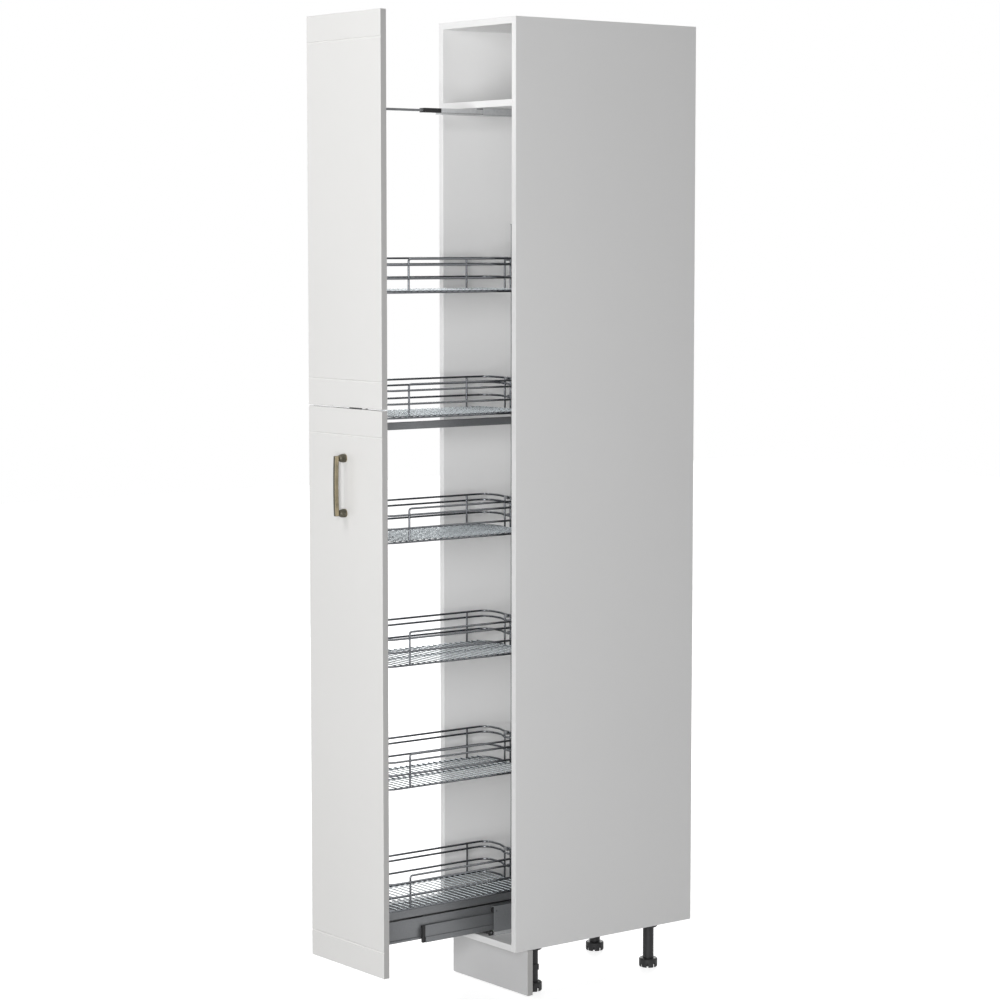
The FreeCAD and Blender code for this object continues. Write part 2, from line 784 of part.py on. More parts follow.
def plinth():
    """The plinth board with two forked clips that grip the front columns."""
    rear = f"({CARCASS_FRONT} + plinth_recess + board)"
    blank = block("plinth_blank", (f"-{HALF_WIDTH} + plinth_side_gap", f"{CARCASS_FRONT} + plinth_recess",
                                   "plinth_floor_gap"),
                  ("carcass_width - 2 * plinth_side_gap", "board",
                   "floor_gap - plinth_floor_gap - plinth_top_gap"))
    toward_front = Vector(0, -1, 0)
    holes = pilot_holes("plinth_screw_holes", clip_screw_seats(), toward_front,
                        size("wood_screw_radius"), size("wood_screw_length"))
    keep(cut("plinth_board", eased("plinth_banded", blank, "board_edge_radius", on_front), [holes]),
         "plinth_board")
    clips = []
    grip = "(column_radius + clip_play)"
    for label, x, y in LEG_PLACES[:2]:
        plate = block(f"clip_plate_{label}", (f"{x} - {grip} - clip_arm", rear,
                                              "clip_level - clip_plate_height / 2"),
                      (f"2 * ({grip} + clip_arm)", "clip_plate", "clip_plate_height"))
        arms = [block(f"clip_arm_{label}_{sign}",
                      (start, f"{rear} + clip_plate", "clip_level - clip_height / 2"),
                      ("clip_arm", f"{y} - {rear} - clip_plate + column_radius / 2", "clip_height"))
                for sign, start in (("left", f"{x} - {grip} - clip_arm"), ("right", f"{x} + {grip}"))]
        clips.append(cut(f"clip_{label}", fuse(f"clip_body_{label}", [plate] + arms), [
            pilot_holes(f"clip_holes_{label}", clip_screw_seats(), toward_front,
                        size("wood_screw_radius"), size("wood_screw_length"))]))
    keep(group("plinth_clips", clips), "plinth_clips")
    screws("plinth_clip_screws", wood_screw(), (clip_screw_seats(), toward_front))


# ---------------------------------------------------------------- bottom runner

def tray_screw_seats():
    """Six screws on the housing's floor, either side of the middle member's glide."""
    level = f"{HOUSING_LEVEL} + housing_wall"
    last = "runner_length - tray_screw_inset"
    depths = ("tray_screw_inset", "runner_length / 2", last)
    return [point(f"{sign}1 * tray_screw_offset", f"{HOUSING_FRONT} + {depth}", level)
            for depth in depths for sign in ("-", "+")]


def tray_screw_holes(name):
    return pilot_holes(name, tray_screw_seats(), Vector(0, 0, -1),
                       size("wood_screw_radius"), size("wood_screw_length"))


def bottom_runner():
    """Tray, open-topped housing, middle member and the rail that carries the frame."""
    half = "housing_width / 2"
    tray = extrusion("tray_profile", ("0", HOUSING_FRONT, FLOOR_LEVEL), mirrored([
        (f"{half} + tray_lip", "0"), (f"{half} + tray_lip", "tray_height"),
        (half, "tray_height"), (half, "tray_floor")]), "runner_length")
    keep(cut("runner_tray", tray, [tray_screw_holes("tray_screw_holes")]), "runner_tray")
    housing = extrusion("housing_profile", ("0", HOUSING_FRONT, HOUSING_LEVEL), mirrored([
        (half, "0"), (half, "housing_height"), (f"{half} - housing_wall - housing_lip", "housing_height"),
        (f"{half} - housing_wall - housing_lip", "housing_height - housing_wall"),
        (f"{half} - housing_wall", "housing_height - housing_wall"),
        (f"{half} - housing_wall", "housing_wall")]), "runner_length")
    upper_axle = upper_roller_axles()
    keep(cut("runner_housing", housing, [tray_screw_holes("housing_screw_holes"),
                                         group("axle_bores", upper_axle)]), "runner_housing")
    keep(block("housing_glide", ("-housing_glide_half", HOUSING_FRONT, f"{HOUSING_LEVEL} + housing_wall"),
               ("2 * housing_glide_half", "runner_length",
                f"{MIDDLE_LEVEL} - glide_play - {HOUSING_LEVEL} - housing_wall")), "housing_glide")
    keep(group("mouth_axles", upper_axle + [mouth_roller_axle()]), "mouth_axles")

    middle = extrusion("middle_profile", ("0", MIDDLE_FRONT, MIDDLE_LEVEL), mirrored([
        ("middle_half", "0"), ("middle_half", "middle_foot"), ("middle_shoulder", "middle_foot"),
        ("middle_shoulder", "middle_height"), ("middle_cavity", "middle_height"),
        ("middle_cavity", "middle_floor")]), "runner_length")
    axles = middle_roller_axles()
    mouth = block("middle_mouth_cut", ("-middle_cavity", f"{MIDDLE_FRONT} - {OVERRUN}",
                                       f"{MIDDLE_LEVEL} - {OVERRUN}"),
                  ("2 * middle_cavity", f"middle_mouth + {OVERRUN}", f"middle_floor + 2 * {OVERRUN}"))
    keep(cut("runner_middle", middle, [group("middle_axle_bores", axles), mouth]), "runner_middle")
    keep(group("middle_roller_axles", axles), "middle_roller_axles")
    keep(block("middle_glide", ("-middle_glide_half", f"{MIDDLE_FRONT} + middle_mouth",
                                f"{MIDDLE_LEVEL} + middle_floor"),
               ("2 * middle_glide_half", "runner_length - middle_mouth",
                f"{RAIL_LEVEL} - glide_play - {MIDDLE_LEVEL} - middle_floor")), "middle_glide")
    nearest = "(rail_half + middle_stop_play)"
    stops = [block(f"middle_stop_{side}", (start, f"{MIDDLE_FRONT} - middle_stop_length", MIDDLE_LEVEL),
                   (f"middle_shoulder - {nearest}", "middle_stop_length", "middle_height"))
             for side, start in (("left", "-middle_shoulder"), ("right", nearest))]
    keep(group("middle_end_stops", stops), "middle_end_stops")

    inner = [("rail_half - rail_wall", "rail_height - rail_head + rail_wall"),
             ("rail_half - rail_wall", "rail_height - rail_wall")]
    slot = [("rail_web - rail_wall", "rail_wall"),
            ("rail_web - rail_wall", "rail_height - rail_head + rail_wall")]
    rail = extrusion("rail_profile", ("0", POST_FRONT, RAIL_LEVEL), mirrored([
        ("rail_half", "0"), ("rail_half", "rail_foot"), ("rail_web", "rail_foot"),
        ("rail_web", "rail_height - rail_head"), ("rail_half", "rail_height - rail_head"),
        ("rail_half", "rail_height")]), "runner_length", [mirrored(slot + inner)])
    keep(cut("moving_rail", rail, [frame_bolt_holes("rail_bolt_holes")]), "moving_rail")
    spacers = [block(f"spacer_{number}", ("-spacer_width / 2", f"{y} - spacer_length / 2", RAIL_TOP),
                     ("spacer_width", "spacer_length", "spacer_height"))
               for number, y in enumerate(frame_bolt_depths())]
    keep(cut("rail_spacers", group("spacer_blanks", spacers), [frame_bolt_holes("spacer_bolt_holes")]),
         "rail_spacers")


def frame_bolt_depths():
    """Where the frame's base bar is bolted to the moving rail."""
    first = f"({POST_REAR} + spacer_length)"
    last = f"({REAR_POST} - spacer_length)"
    return [f"({first} + ({last} - {first}) * {number} / {FRAME_BOLTS - 1})"
            for number in range(FRAME_BOLTS)]


def frame_bolt_seats():
    return [point("0", y, f"{BAR_LEVEL} + base_bar_wall") for y in frame_bolt_depths()]


def frame_bolt_length():
    return size("base_bar_wall + spacer_height + rail_wall + bolt_bite")


def frame_bolt_holes(name):
    return pilot_holes(name, frame_bolt_seats(), Vector(0, 0, -1),
                       size("bolt_radius"), frame_bolt_length())


def mouth_roller_place():
    return (f"{HOUSING_FRONT} - mouth_roller_advance",
            f"{MIDDLE_LEVEL} - glide_play - mouth_roller_radius")


def mouth_roller_axle():
    """The pin of the long roller in front of the housing."""
    y, z = mouth_roller_place()
    half = "(mouth_roller_half + turn_play + mouth_cheek)"
    return rod("mouth_roller_pin", (f"-{half}", y, z), "axle_radius", f"2 * {half}", "x")


def upper_roller_axles():
    """Pins through the housing's walls at its mouth."""
    y = f"{HOUSING_FRONT} + upper_roller_radius"
    z = f"{MIDDLE_TOP} + glide_play + upper_roller_radius"
    length = "housing_width / 2 - upper_roller_inner"
    return [rod("upper_axle_left", ("-housing_width / 2", y, z), "axle_radius", length, "x"),
            rod("upper_axle_right", ("upper_roller_inner", y, z), "axle_radius", length, "x")]


def middle_roller_place():
    return (f"{MIDDLE_FRONT} + middle_roller_inset",
            f"{RAIL_LEVEL} + rail_foot + (rail_height - rail_head - rail_foot) / 2")


def middle_roller_axles():
    """Pins through the middle member's walls at its front."""
    y, z = middle_roller_place()
    length = "middle_shoulder - rail_web - glide_play"
    return [rod("middle_axle_left", ("-middle_shoulder", y, z), "axle_radius", length, "x"),
            rod("middle_axle_right", ("rail_web + glide_play", y, z), "axle_radius", length, "x")]


def roller(name, start, radius, width):
    """A plain roller along X with a running bore."""
    wheel = rod(f"{name}_wheel", start, radius, width, "x")
    bore = rod(f"{name}_bore", start, "axle_radius + fit_play", width, "x")
    return cut(name, wheel, [bore])


def rollers():
    """The rollers at the housing's mouth and those between middle member and rail."""
    y, z = mouth_roller_place()
    keep(roller("mouth_roller", ("-mouth_roller_half", y, z), "mouth_roller_radius",
                "2 * mouth_roller_half"), "mouth_roller")
    reach = "mouth_roller_half + turn_play"
    bores = [rod(f"mouth_cheek_bore_{side}", (start, y, z), "axle_radius", "mouth_cheek", "x")
             for side, start in (("left", f"-({reach} + mouth_cheek)"), ("right", reach))]
    cheeks = [block(f"mouth_cheek_{side}", (start, f"{y} - mouth_roller_radius", FLOOR_LEVEL),
                    ("mouth_cheek", "mouth_roller_advance + mouth_roller_radius",
                     f"{MIDDLE_LEVEL} - mouth_cheek_gap - {FLOOR_LEVEL}"))
              for side, start in (("left", f"-({reach} + mouth_cheek)"), ("right", reach))]
    keep(group("mouth_cheeks", [cut(f"{cheek.Name}_bored", cheek, [bore])
                                for cheek, bore in zip(cheeks, bores)]), "mouth_cheeks")

    y = f"{HOUSING_FRONT} + upper_roller_radius"
    z = f"{MIDDLE_TOP} + glide_play + upper_roller_radius"
    keep(group("upper_rollers", [
        roller("upper_roller_left", ("-(upper_roller_inner + upper_roller_width)", y, z),
               "upper_roller_radius", "upper_roller_width"),
        roller("upper_roller_right", ("upper_roller_inner", y, z),
               "upper_roller_radius", "upper_roller_width")]), "upper_rollers")
    y, z = middle_roller_place()
    inner = "(rail_web + 2 * glide_play)"
    keep(group("middle_rollers", [
        roller("middle_roller_left", (f"-({inner} + middle_roller_width)", y, z),
               "middle_roller_radius", "middle_roller_width"),
        roller("middle_roller_right", (inner, y, z),
               "middle_roller_radius", "middle_roller_width")]), "middle_rollers")


# ---------------------------------------------------------------- top guide

def guide_screw_seats():
    """Three screws through the fixed guide's web into the shelf."""
    level = f"{SHELF_LEVEL} - guide_web"
    depths = ("guide_screw_inset", "guide_length / 2", "guide_length - guide_screw_inset")
    return [point("0", f"{GUIDE_FRONT} + {depth}", level) for depth in depths]


def guide_screw_holes(name):
    return pilot_holes(name, guide_screw_seats(), Vector(0, 0, 1),
                       size("wood_screw_radius"), size("wood_screw_length"))


def top_guide():
    """Guide channel under the shelf, its sliding member, and the bar from the front post."""
    channel = extrusion("guide_profile", ("0", GUIDE_FRONT, f"{SHELF_LEVEL} - guide_height"), [
        ("guide_half", "0"), ("guide_half", "guide_height"),
        ("-guide_half", "guide_height"), ("-guide_half", "0"),
        ("-(guide_half - guide_lip)", "0"), ("-(guide_half - guide_lip)", "guide_lip_height"),
        ("-(guide_half - guide_wall)", "guide_lip_height"),
        ("-(guide_half - guide_wall)", "guide_height - guide_web"),
        ("guide_half - guide_wall", "guide_height - guide_web"),
        ("guide_half - guide_wall", "guide_lip_height"),
        ("guide_half - guide_lip", "guide_lip_height"), ("guide_half - guide_lip", "0")],
        "guide_length")
    keep(cut("top_guide_channel", channel, [guide_screw_holes("channel_screw_holes")]), "top_guide_channel")

    bottom = "(slide_drop + slide_height)"
    lip_low = f"({bottom} - guide_height - glide_play)"
    lip_high = f"({bottom} - guide_height + guide_lip_height + glide_play)"
    cavity_top = f"({bottom} - slide_cavity_drop)"
    cavity = mirrored([("slide_cavity_half", f"{cavity_top} - slide_cavity_height"),
                       ("slide_cavity_half", cavity_top)])
    member = extrusion("slide_profile", ("0", SLIDE_FRONT, f"{SHELF_LEVEL} - {bottom}"), mirrored([
        ("slide_half", "0"), ("slide_half", lip_low), ("slide_neck", lip_low),
        ("slide_neck", lip_high), ("slide_half", lip_high), ("slide_half", "slide_height")]),
        "slide_length", [cavity])
    keep(member, "top_guide_slide")

    bar_low = f"({GUIDE_BAR_TOP} - bar_height)"
    case = block("guide_block_blank", ("-block_half", f"{SLIDE_FRONT} - block_length",
                                       f"{SHELF_LEVEL} - slide_drop - block_height"),
                 ("2 * block_half", "block_length", "block_height"))
    bore = block("guide_block_bore", ("-(bar_half + glide_play)", f"{SLIDE_FRONT} - block_length",
                                      f"{bar_low} - glide_play"),
                 ("2 * (bar_half + glide_play)", "block_length", "bar_height + 2 * glide_play"))
    keep(cut("top_guide_block", case, [bore]), "top_guide_block")

    keep(eased("top_guide_bar", block("guide_bar_blank", ("-bar_half", POST_FRONT, bar_low),
                                      ("2 * bar_half", "bar_length", "bar_height")),
               "bar_corner", lengthwise), "top_guide_bar")
    keep(block("top_bar_slider", ("-(slide_cavity_half - glide_play)", f"{POST_FRONT} + bar_length",
                                  f"{SHELF_LEVEL} - slide_cavity_drop - slide_cavity_height + glide_play"),
               ("2 * (slide_cavity_half - glide_play)", "slider_length",
                "slide_cavity_height - 2 * glide_play")), "top_bar_slider")


# ---------------------------------------------------------------- moving frame

def hollow_post(name, front, low, high, holes):
    """A rectangular steel tube standing on end, with bored fixing holes."""
    tall = f"({high} - {low})"
    outer = eased(f"{name}_outer", block(f"{name}_blank", ("-post_width / 2", front, low),
                                         ("post_width", "post_depth", tall)), "post_corner", upright)
    hollow = block(f"{name}_hollow", ("-(post_width / 2 - post_wall)", f"{front} + post_wall", low),
                   ("post_width - 2 * post_wall", "post_depth - 2 * post_wall", tall))
    return keep(cut(name, cut(f"{name}_tube", outer, [hollow]), holes), name)


def basket_levels():
    return [f"(basket_level + {number} * basket_pitch)" for number in range(BASKET_COUNT)]


def hook_bolt_seats(front):
    """One bolt for each basket hook, in the hook's plate below the hanger."""
    y = f"{POST_REAR} + hook_plate" if front else f"{REAR_POST} - hook_plate"
    return [point("0", y, f"{level} + (low_wire_height + high_wire_height) / 2")
            for level in basket_levels()]


def hook_bolt_holes(name, front):
    """Holes for the hook bolts through the post's near wall."""
    direction = Vector(0, -1, 0) if front else Vector(0, 1, 0)
    return pilot_holes(name, hook_bolt_seats(front), direction, size("bolt_radius"), hook_bolt_length())


def hook_bolt_length():
    return size("hook_plate + post_wall + bolt_bite")


def moving_frame():
    front_holes = [hook_bolt_holes("front_post_holes", True)]
    rear_holes = [hook_bolt_holes("rear_post_holes", False)]
    rear_top = "(rear_post_top - plug_cap)"
    hollow_post("front_post", POST_FRONT, BAR_LEVEL, FRONT_POST_TOP, front_holes)
    hollow_post("rear_post", REAR_POST, BAR_LEVEL, rear_top, rear_holes)

    width = "(post_width - 2 * (post_wall + fit_play))"
    depth = "(post_depth - 2 * (post_wall + fit_play))"
    plug = ("-(post_width / 2 - post_wall - fit_play)", f"{POST_FRONT} + post_wall + fit_play",
            f"{FRONT_POST_TOP} - plug_depth")
    front_plug = fuse("front_plug", [
        block("front_plug_body", plug, (width, depth, "plug_depth")),
        block("front_plug_neck", ("-bar_half", POST_FRONT, FRONT_POST_TOP),
              ("2 * bar_half", "post_depth", f"{GUIDE_BAR_TOP} - bar_height - {FRONT_POST_TOP}"))])
    rear_plug = fuse("rear_plug", [
        block("rear_plug_body", (plug[0], f"{REAR_POST} + post_wall + fit_play",
                                 f"{rear_top} - plug_depth"), (width, depth, "plug_depth")),
        block("rear_plug_cap", ("-post_width / 2", REAR_POST, rear_top),
              ("post_width", "post_depth", "plug_cap"))])
    keep(group("post_plugs", [front_plug, rear_plug]), "post_plugs")

    span = f"{REAR_POST} - {POST_REAR}"
    bar = block("base_bar_outer", ("-base_bar_width / 2", POST_REAR, BAR_LEVEL),
                ("base_bar_width", span, "base_bar_height"))
    hollow = block("base_bar_hollow", ("-(base_bar_width / 2 - base_bar_wall)", POST_REAR,
                                       f"{BAR_LEVEL} + base_bar_wall"),
                   ("base_bar_width - 2 * base_bar_wall", span, "base_bar_height - 2 * base_bar_wall"))
    tube = cut("base_bar_tube", eased("base_bar_eased", bar, "base_bar_corner", lengthwise), [hollow])
    keep(cut("frame_base_bar", tube, [frame_bolt_holes("bar_bolt_holes")]), "frame_base_bar")
    screws("frame_bolts", screw_shape(size("bolt_head_radius"), size("bolt_head_height"),
                                      size("bolt_radius"), frame_bolt_length()),
           (frame_bolt_seats(), Vector(0, 0, -1)))
    below = basket_levels()[CROSSBAR_BASKET]
    crossbar = block("crossbar_blank", ("-crossbar_width / 2", POST_REAR,
                                        f"{below} - crossbar_drop - crossbar_height"),
                     ("crossbar_width", span, "crossbar_height"))
    keep(eased("mid_crossbar", crossbar, "crossbar_corner", lengthwise), "mid_crossbar")


# ---------------------------------------------------------------- baskets

# the raised rails stand inside the rims; at the rear they run on round the end
RAIL_INSET = "(2 * wire_radius - side_rail_sink)"
RAIL_RUN = "side_rail_rear - wire_radius"

def rounded_path(points, bends):
    """Straight runs through the points, with a tangent arc of its own bend at each inner point."""
    edges = []
    here = points[0]
    for bend, before, corner, after in zip(bends, points, points[1:], points[2:]):
        into = (corner - before).normalize()
        away = (after - corner).normalize()
        turn = into.getAngle(away)
        setback = bend * math.tan(turn / 2)
        start = corner - into * setback
        end = corner + away * setback
        middle = corner + (away - into).normalize() * (bend / math.cos(turn / 2) - bend)
        edges += straight(here, start)
        edges.append(Part.Arc(start, middle, end).toShape())
        here = end
    return Part.Wire(edges + straight(here, points[-1]))


def straight(start, end):
    """The line between two points, or nothing where they meet."""
    if (end - start).Length < TOLERANCE:
        return []
    return [Part.LineSegment(start, end).toShape()]


def wire(points, radius, bends):
    """A round wire bent along a path."""
    section = Part.Wire(Part.Circle(points[0], points[1] - points[0], radius).toShape())
    return rounded_path(points, bends).makePipeShell([section], True, False)


def rod_between(start, end, radius):
    run = end - start
    return Part.makeCylinder(radius, run.Length, start, run)


def end_wire(front, level, radius, run="basket_corner", inset="0"):
    """A wire round one end of the basket, from a run along each side, drawn in at the hanger."""
    outward = -1 if front else 1
    end = size(BASKET_FRONT if front else BASKET_REAR)
    side = size(f"basket_width / 2 - {inset}")
    face = end - outward * size(inset)
    right = [Vector(side, end - outward * size(run), level), Vector(side, face, level),
             Vector(size("basket_width / 2 - 2 * basket_corner"), face, level),
             Vector(size("hanger_half"), end - outward * size("hanger_notch"), level)]
    left = [Vector(-p.x, p.y, p.z) for p in reversed(right)]
    corner = size(f"basket_corner - {inset}")
    return wire(right + left, radius, [corner] + [size("notch_bend")] * 4 + [corner])


def cross_wire_depths():
    """Depths of the floor's cross wires, at a steady pitch about the basket's middle."""
    pitch = size("cross_wire_pitch")
    middle = size(f"({BASKET_FRONT} + {BASKET_REAR}) / 2")
    reach = size("basket_length / 2 - hanger_notch - 2 * wire_radius")
    count = int(reach / pitch)
    return [middle + number * pitch for number in range(-count, count + 1)]


def cross_wire_half(depth):
    """Half length of a cross wire, shorter where the corners are round."""
    corner = size("basket_corner")
    half = size("basket_width / 2")
    inside = max(0.0, abs(depth - size(f"({BASKET_FRONT} + {BASKET_REAR}) / 2"))
                 - size("basket_length / 2") + corner)
    curved = math.sqrt(corner * corner - inside * inside)
    return half - corner + curved + size("cross_wire_proud + wire_radius")


def basket_floor(radius):
    """Base rim, middle wire and cross wires, welded into one grid at z = 0."""
    side_front = size(f"{BASKET_FRONT} + basket_corner")
    side_rear = size(f"{BASKET_REAR} - basket_corner")
    half = size("basket_width / 2")
    sides = [rod_between(Vector(x, side_front, 0), Vector(x, side_rear, 0), radius) for x in (-half, half)]
    rims = [end_wire(front, 0, radius) for front in (True, False)]
    notch_front = size(f"{BASKET_FRONT} + hanger_notch")
    notch_rear = size(f"{BASKET_REAR} - hanger_notch")
    spine = rod_between(Vector(0, notch_front, 0), Vector(0, notch_rear, 0), size("stay_radius"))
    thin = size("cross_wire_radius")
    level = size("wire_radius + cross_wire_radius - cross_wire_sink")
    cross = [rod_between(Vector(-cross_wire_half(y), y, level), Vector(cross_wire_half(y), y, level), thin)
             for y in cross_wire_depths()]
    return rims[0].fuse([rims[1], spine] + sides + cross)


def basket_side(sign, radius):
    """Two straight rim wires and the raised rail of one side, welded together."""
    x = sign * size("basket_width / 2")
    front = size(f"{BASKET_FRONT} + basket_corner")
    rear = size(f"{BASKET_REAR} - basket_corner")
    rims = [rod_between(Vector(x, front, level), Vector(x, rear, level), radius)
            for level in (size("low_wire_height"), size("high_wire_height"))]
    inner = x - sign * size(RAIL_INSET)
    start = size(f"{BASKET_FRONT} + side_rail_front")
    stop = size(f"{BASKET_REAR} - side_rail_rear")
    end = size(f"{BASKET_REAR} - ({RAIL_RUN})")
    top = size("side_rail_height")
    rail = wire([Vector(inner, start, 0), Vector(inner, start, top), Vector(inner, end, top)],
                radius, [size("side_rail_bend")])
    stay = rod_between(Vector(inner, stop, 0), Vector(inner, stop, top), size("stay_radius"))
    return rail.fuse([stay] + rims)


def basket_end(front, radius):
    """Two rim wires round one end, and the hanger that hooks on the post."""
    rims = [end_wire(front, level, radius) for level in (size("low_wire_height"), size("high_wire_height"))]
    half = size("hanger_half")
    top = size("side_rail_height")
    if front:
        end = size(f"{BASKET_FRONT} + hanger_notch")
        hanger = wire([Vector(-half, end, 0), Vector(-half, end, top), Vector(half, end, top),
                       Vector(half, end, 0)], radius, [size("hanger_bend")] * 2)
        return hanger.fuse(rims)
    end = size(f"{BASKET_REAR} - hanger_notch")
    stays = [rod_between(Vector(x, end, 0), Vector(x, end, top), size("stay_radius")) for x in (-half, half)]
    return end_wire(front, top, radius, RAIL_RUN, RAIL_INSET).fuse(stays + rims)


def basket_shape():
    """One basket at level 0, as its floor grid, two sides and two ends, face to face."""
    radius = size("wire_radius")
    floor = basket_floor(radius)
    walls = [basket_side(-1, radius), basket_side(1, radius),
             basket_end(True, radius), basket_end(False, radius)]
    solids = [floor]
    for wall in walls:
        above = wall.cut(floor)
        solids.append(max(above.Solids, key=lambda solid: solid.Volume))
    return Part.makeCompound([solid for shape in solids for solid in shape.Solids])


def baskets():
    shape = basket_shape()
    for number, level in enumerate(basket_levels(), start=1):
        item = feature(f"basket_{number}", shape)
        item.Placement = Placement(point("0", "0", level), Rotation())
        keep(item, f"basket_{number}")
    keep(group("basket_hooks", hooks("front_hook", True) + hooks("rear_hook", False)), "basket_hooks")
    screws("hook_bolts", screw_shape(size("bolt_head_radius"), size("bolt_head_height"),
                                     size("bolt_radius"), hook_bolt_length()),
           (hook_bolt_seats(True), Vector(0, -1, 0)), (hook_bolt_seats(False), Vector(0, 1, 0)))


def hooks(name, front):
    """Hook plates on one post, each holding a basket's hanger by its top wire."""
    made = []
    sign = -1 if front else 1
    face = POST_REAR if front else REAR_POST
    wire_line = f"({BASKET_FRONT} + hanger_notch)" if front else f"({BASKET_REAR} - hanger_notch)"
    for number, level in enumerate(basket_levels()):
        top = f"({level} + side_rail_height - wire_radius)"
        low = f"({level} + side_rail_height - hook_plate_drop)"
        pieces = (
            ("plate", face, f"{face} - {sign} * hook_plate", "hook_plate_half", low,
             f"{top} + hook_lip_height"),
            ("arm", f"{face} - {sign} * hook_plate",
             f"{wire_line} - {sign} * (wire_radius + hook_play + hook_lip)", "hook_half",
             f"{top} - hook_thickness", top),
            ("lip", f"{wire_line} - {sign} * (wire_radius + hook_play)",
             f"{wire_line} - {sign} * (wire_radius + hook_play + hook_lip)", "hook_half",
             top, f"{top} + hook_lip_height"),
            ("rest", f"{face} - {sign} * hook_plate", f"{wire_line} + {sign} * (wire_radius + hook_play)",
             "hook_half", f"{level} + low_wire_height - hook_thickness",
             f"{level} + low_wire_height + hook_thickness"),
        )
        made.append(cut(f"{name}_{number}", fuse(f"{name}_body_{number}", [
            span_block(f"{name}_{part}_{number}", half, (a, b), (z_low, z_high))
            for part, a, b, half, z_low, z_high in pieces]),
            [hook_bolt_holes(f"{name}_hole_{number}", front)]))
    return made


def span_block(name, half, depths, levels):
    """A box centred on X = 0 between two depths, in either order, and two levels."""
    near, far = sorted(depths, key=size)
    return block(name, (f"-{half}", near, levels[0]),
                 (f"2 * {half}", f"({far}) - ({near})", f"({levels[1]}) - ({levels[0]})"))


# ---------------------------------------------------------------- fronts and handle

FRONTS = (
    ("lower_front", FRONT_BOTTOM, f"({FRONT_BOTTOM} + lower_front_height)"),
    ("upper_front", UPPER_FRONT_BOTTOM, UPPER_FRONT_TOP),
)


def bracket_levels():
    """Two brackets for each front, the top one under the post's end."""
    return [f"({FRONT_BOTTOM} + bracket_inset)",
            f"({FRONT_BOTTOM} + lower_front_height - bracket_inset)",
            f"({UPPER_FRONT_BOTTOM} + bracket_inset)",
            f"({FRONT_POST_TOP} - bracket_height)"]


def bracket_screw_seats():
    depth = f"{DOOR_REAR} + bracket_plate"
    return [point(f"{sx}1 * bracket_screw_x", depth, f"{level} {sz} bracket_screw_z")
            for level in bracket_levels() for sx in ("-", "+") for sz in ("-", "+")]


def bracket_screw_holes(name):
    return pilot_holes(name, bracket_screw_seats(), Vector(0, -1, 0),
                       size("wood_screw_radius"), size("wood_screw_length"))


def handle_seats():
    """Where the handle's bolts enter the front from behind."""
    return [point("0", DOOR_REAR, f"handle_level {sign} handle_centres / 2") for sign in ("-", "+")]


def fronts():
    half = f"({HALF_WIDTH} - front_side_gap)"
    for name, low, high in FRONTS:
        blank = block(f"{name}_blank", (f"-{half}", f"{DOOR_REAR} - front_board", low),
                      (f"2 * {half}", "front_board", f"{high} - {low}"))
        wrapped = eased(f"{name}_eased", blank, "front_edge_radius", on_front)
        grooves = [rod(f"{name}_groove_{where}",
                       (f"-{half}", f"{DOOR_REAR} - front_board - front_groove_radius + front_groove_depth",
                        level), "front_groove_radius", f"2 * {half}", "x")
                   for where, level in (("low", f"{low} + front_groove_inset"),
                                        ("high", f"{high} - front_groove_inset"))]
        holes = [bracket_screw_holes(f"{name}_screw_holes")]
        if name == "lower_front":
            holes.append(pilot_holes("handle_bolt_holes", handle_seats(), Vector(0, -1, 0),
                                     size("bolt_radius"), size("front_board") + OVERRUN))
        keep(cut(name, wrapped, grooves + holes), name)

    brackets = []
    for number, level in enumerate(bracket_levels()):
        low = f"({level} - bracket_height / 2)"
        plate = block(f"bracket_plate_{number}", ("-bracket_half", DOOR_REAR, low),
                      ("2 * bracket_half", "bracket_plate", "bracket_height"))
        cheeks = [block(f"bracket_cheek_{number}_{side}", (start, f"{DOOR_REAR} + bracket_plate", low),
                        ("bracket_cheek", "post_gap - bracket_plate + bracket_grip", "bracket_height"))
                  for side, start in (("left", "-(post_width / 2 + bracket_cheek)"),
                                      ("right", "post_width / 2"))]
        pad = block(f"bracket_pad_{number}", ("-post_width / 2", f"{DOOR_REAR} + bracket_plate", low),
                    ("post_width", "post_gap - bracket_plate", "bracket_height"))
        brackets.append(cut(f"bracket_{number}", fuse(f"bracket_body_{number}", [plate, pad] + cheeks),
                            [bracket_screw_holes(f"bracket_holes_{number}")]))
    keep(group("front_brackets", brackets), "front_brackets")
    screws("bracket_screws", wood_screw(), (bracket_screw_seats(), Vector(0, -1, 0)))

    corners = [(f"{sign}1 * ({half} - buffer_inset)", level) for sign in ("-", "+")
               for level in (f"{FRONT_BOTTOM} + buffer_end_inset", f"{UPPER_FRONT_TOP} - buffer_end_inset")]
    keep(group("closing_buffers", [
        rod(f"buffer_{number}", (x, DOOR_REAR, z), "buffer_radius", "buffer_height", "y")
        for number, (x, z) in enumerate(corners)]), "closing_buffers")


def handle_bar():
    """The bowed bar: an arc-backed strip, rounded along its edges."""
    outer = size(f"{DOOR_REAR} - front_board - handle_reach")
    inner = outer + size("handle_bar_depth")
    bow = size("handle_bow")
    half = size("handle_centres / 2 + handle_bar_over")
    middle = size("handle_level")
    wide = size("handle_bar_width")

    def at(y, z):
        return Vector(-wide / 2, y, middle + z)

    edges = [
        Part.Arc(at(outer + bow, -half), at(outer, 0), at(outer + bow, half)).toShape(),
        Part.LineSegment(at(outer + bow, half), at(inner + bow, half)).toShape(),
        Part.Arc(at(inner + bow, half), at(inner, 0), at(inner + bow, -half)).toShape(),
        Part.LineSegment(at(inner + bow, -half), at(outer + bow, -half)).toShape(),
    ]
    bar = Part.Face(Part.Wire(edges)).extrude(Vector(wide, 0, 0))
    return bar.makeFillet(size("handle_edge_radius"), bar.Edges)


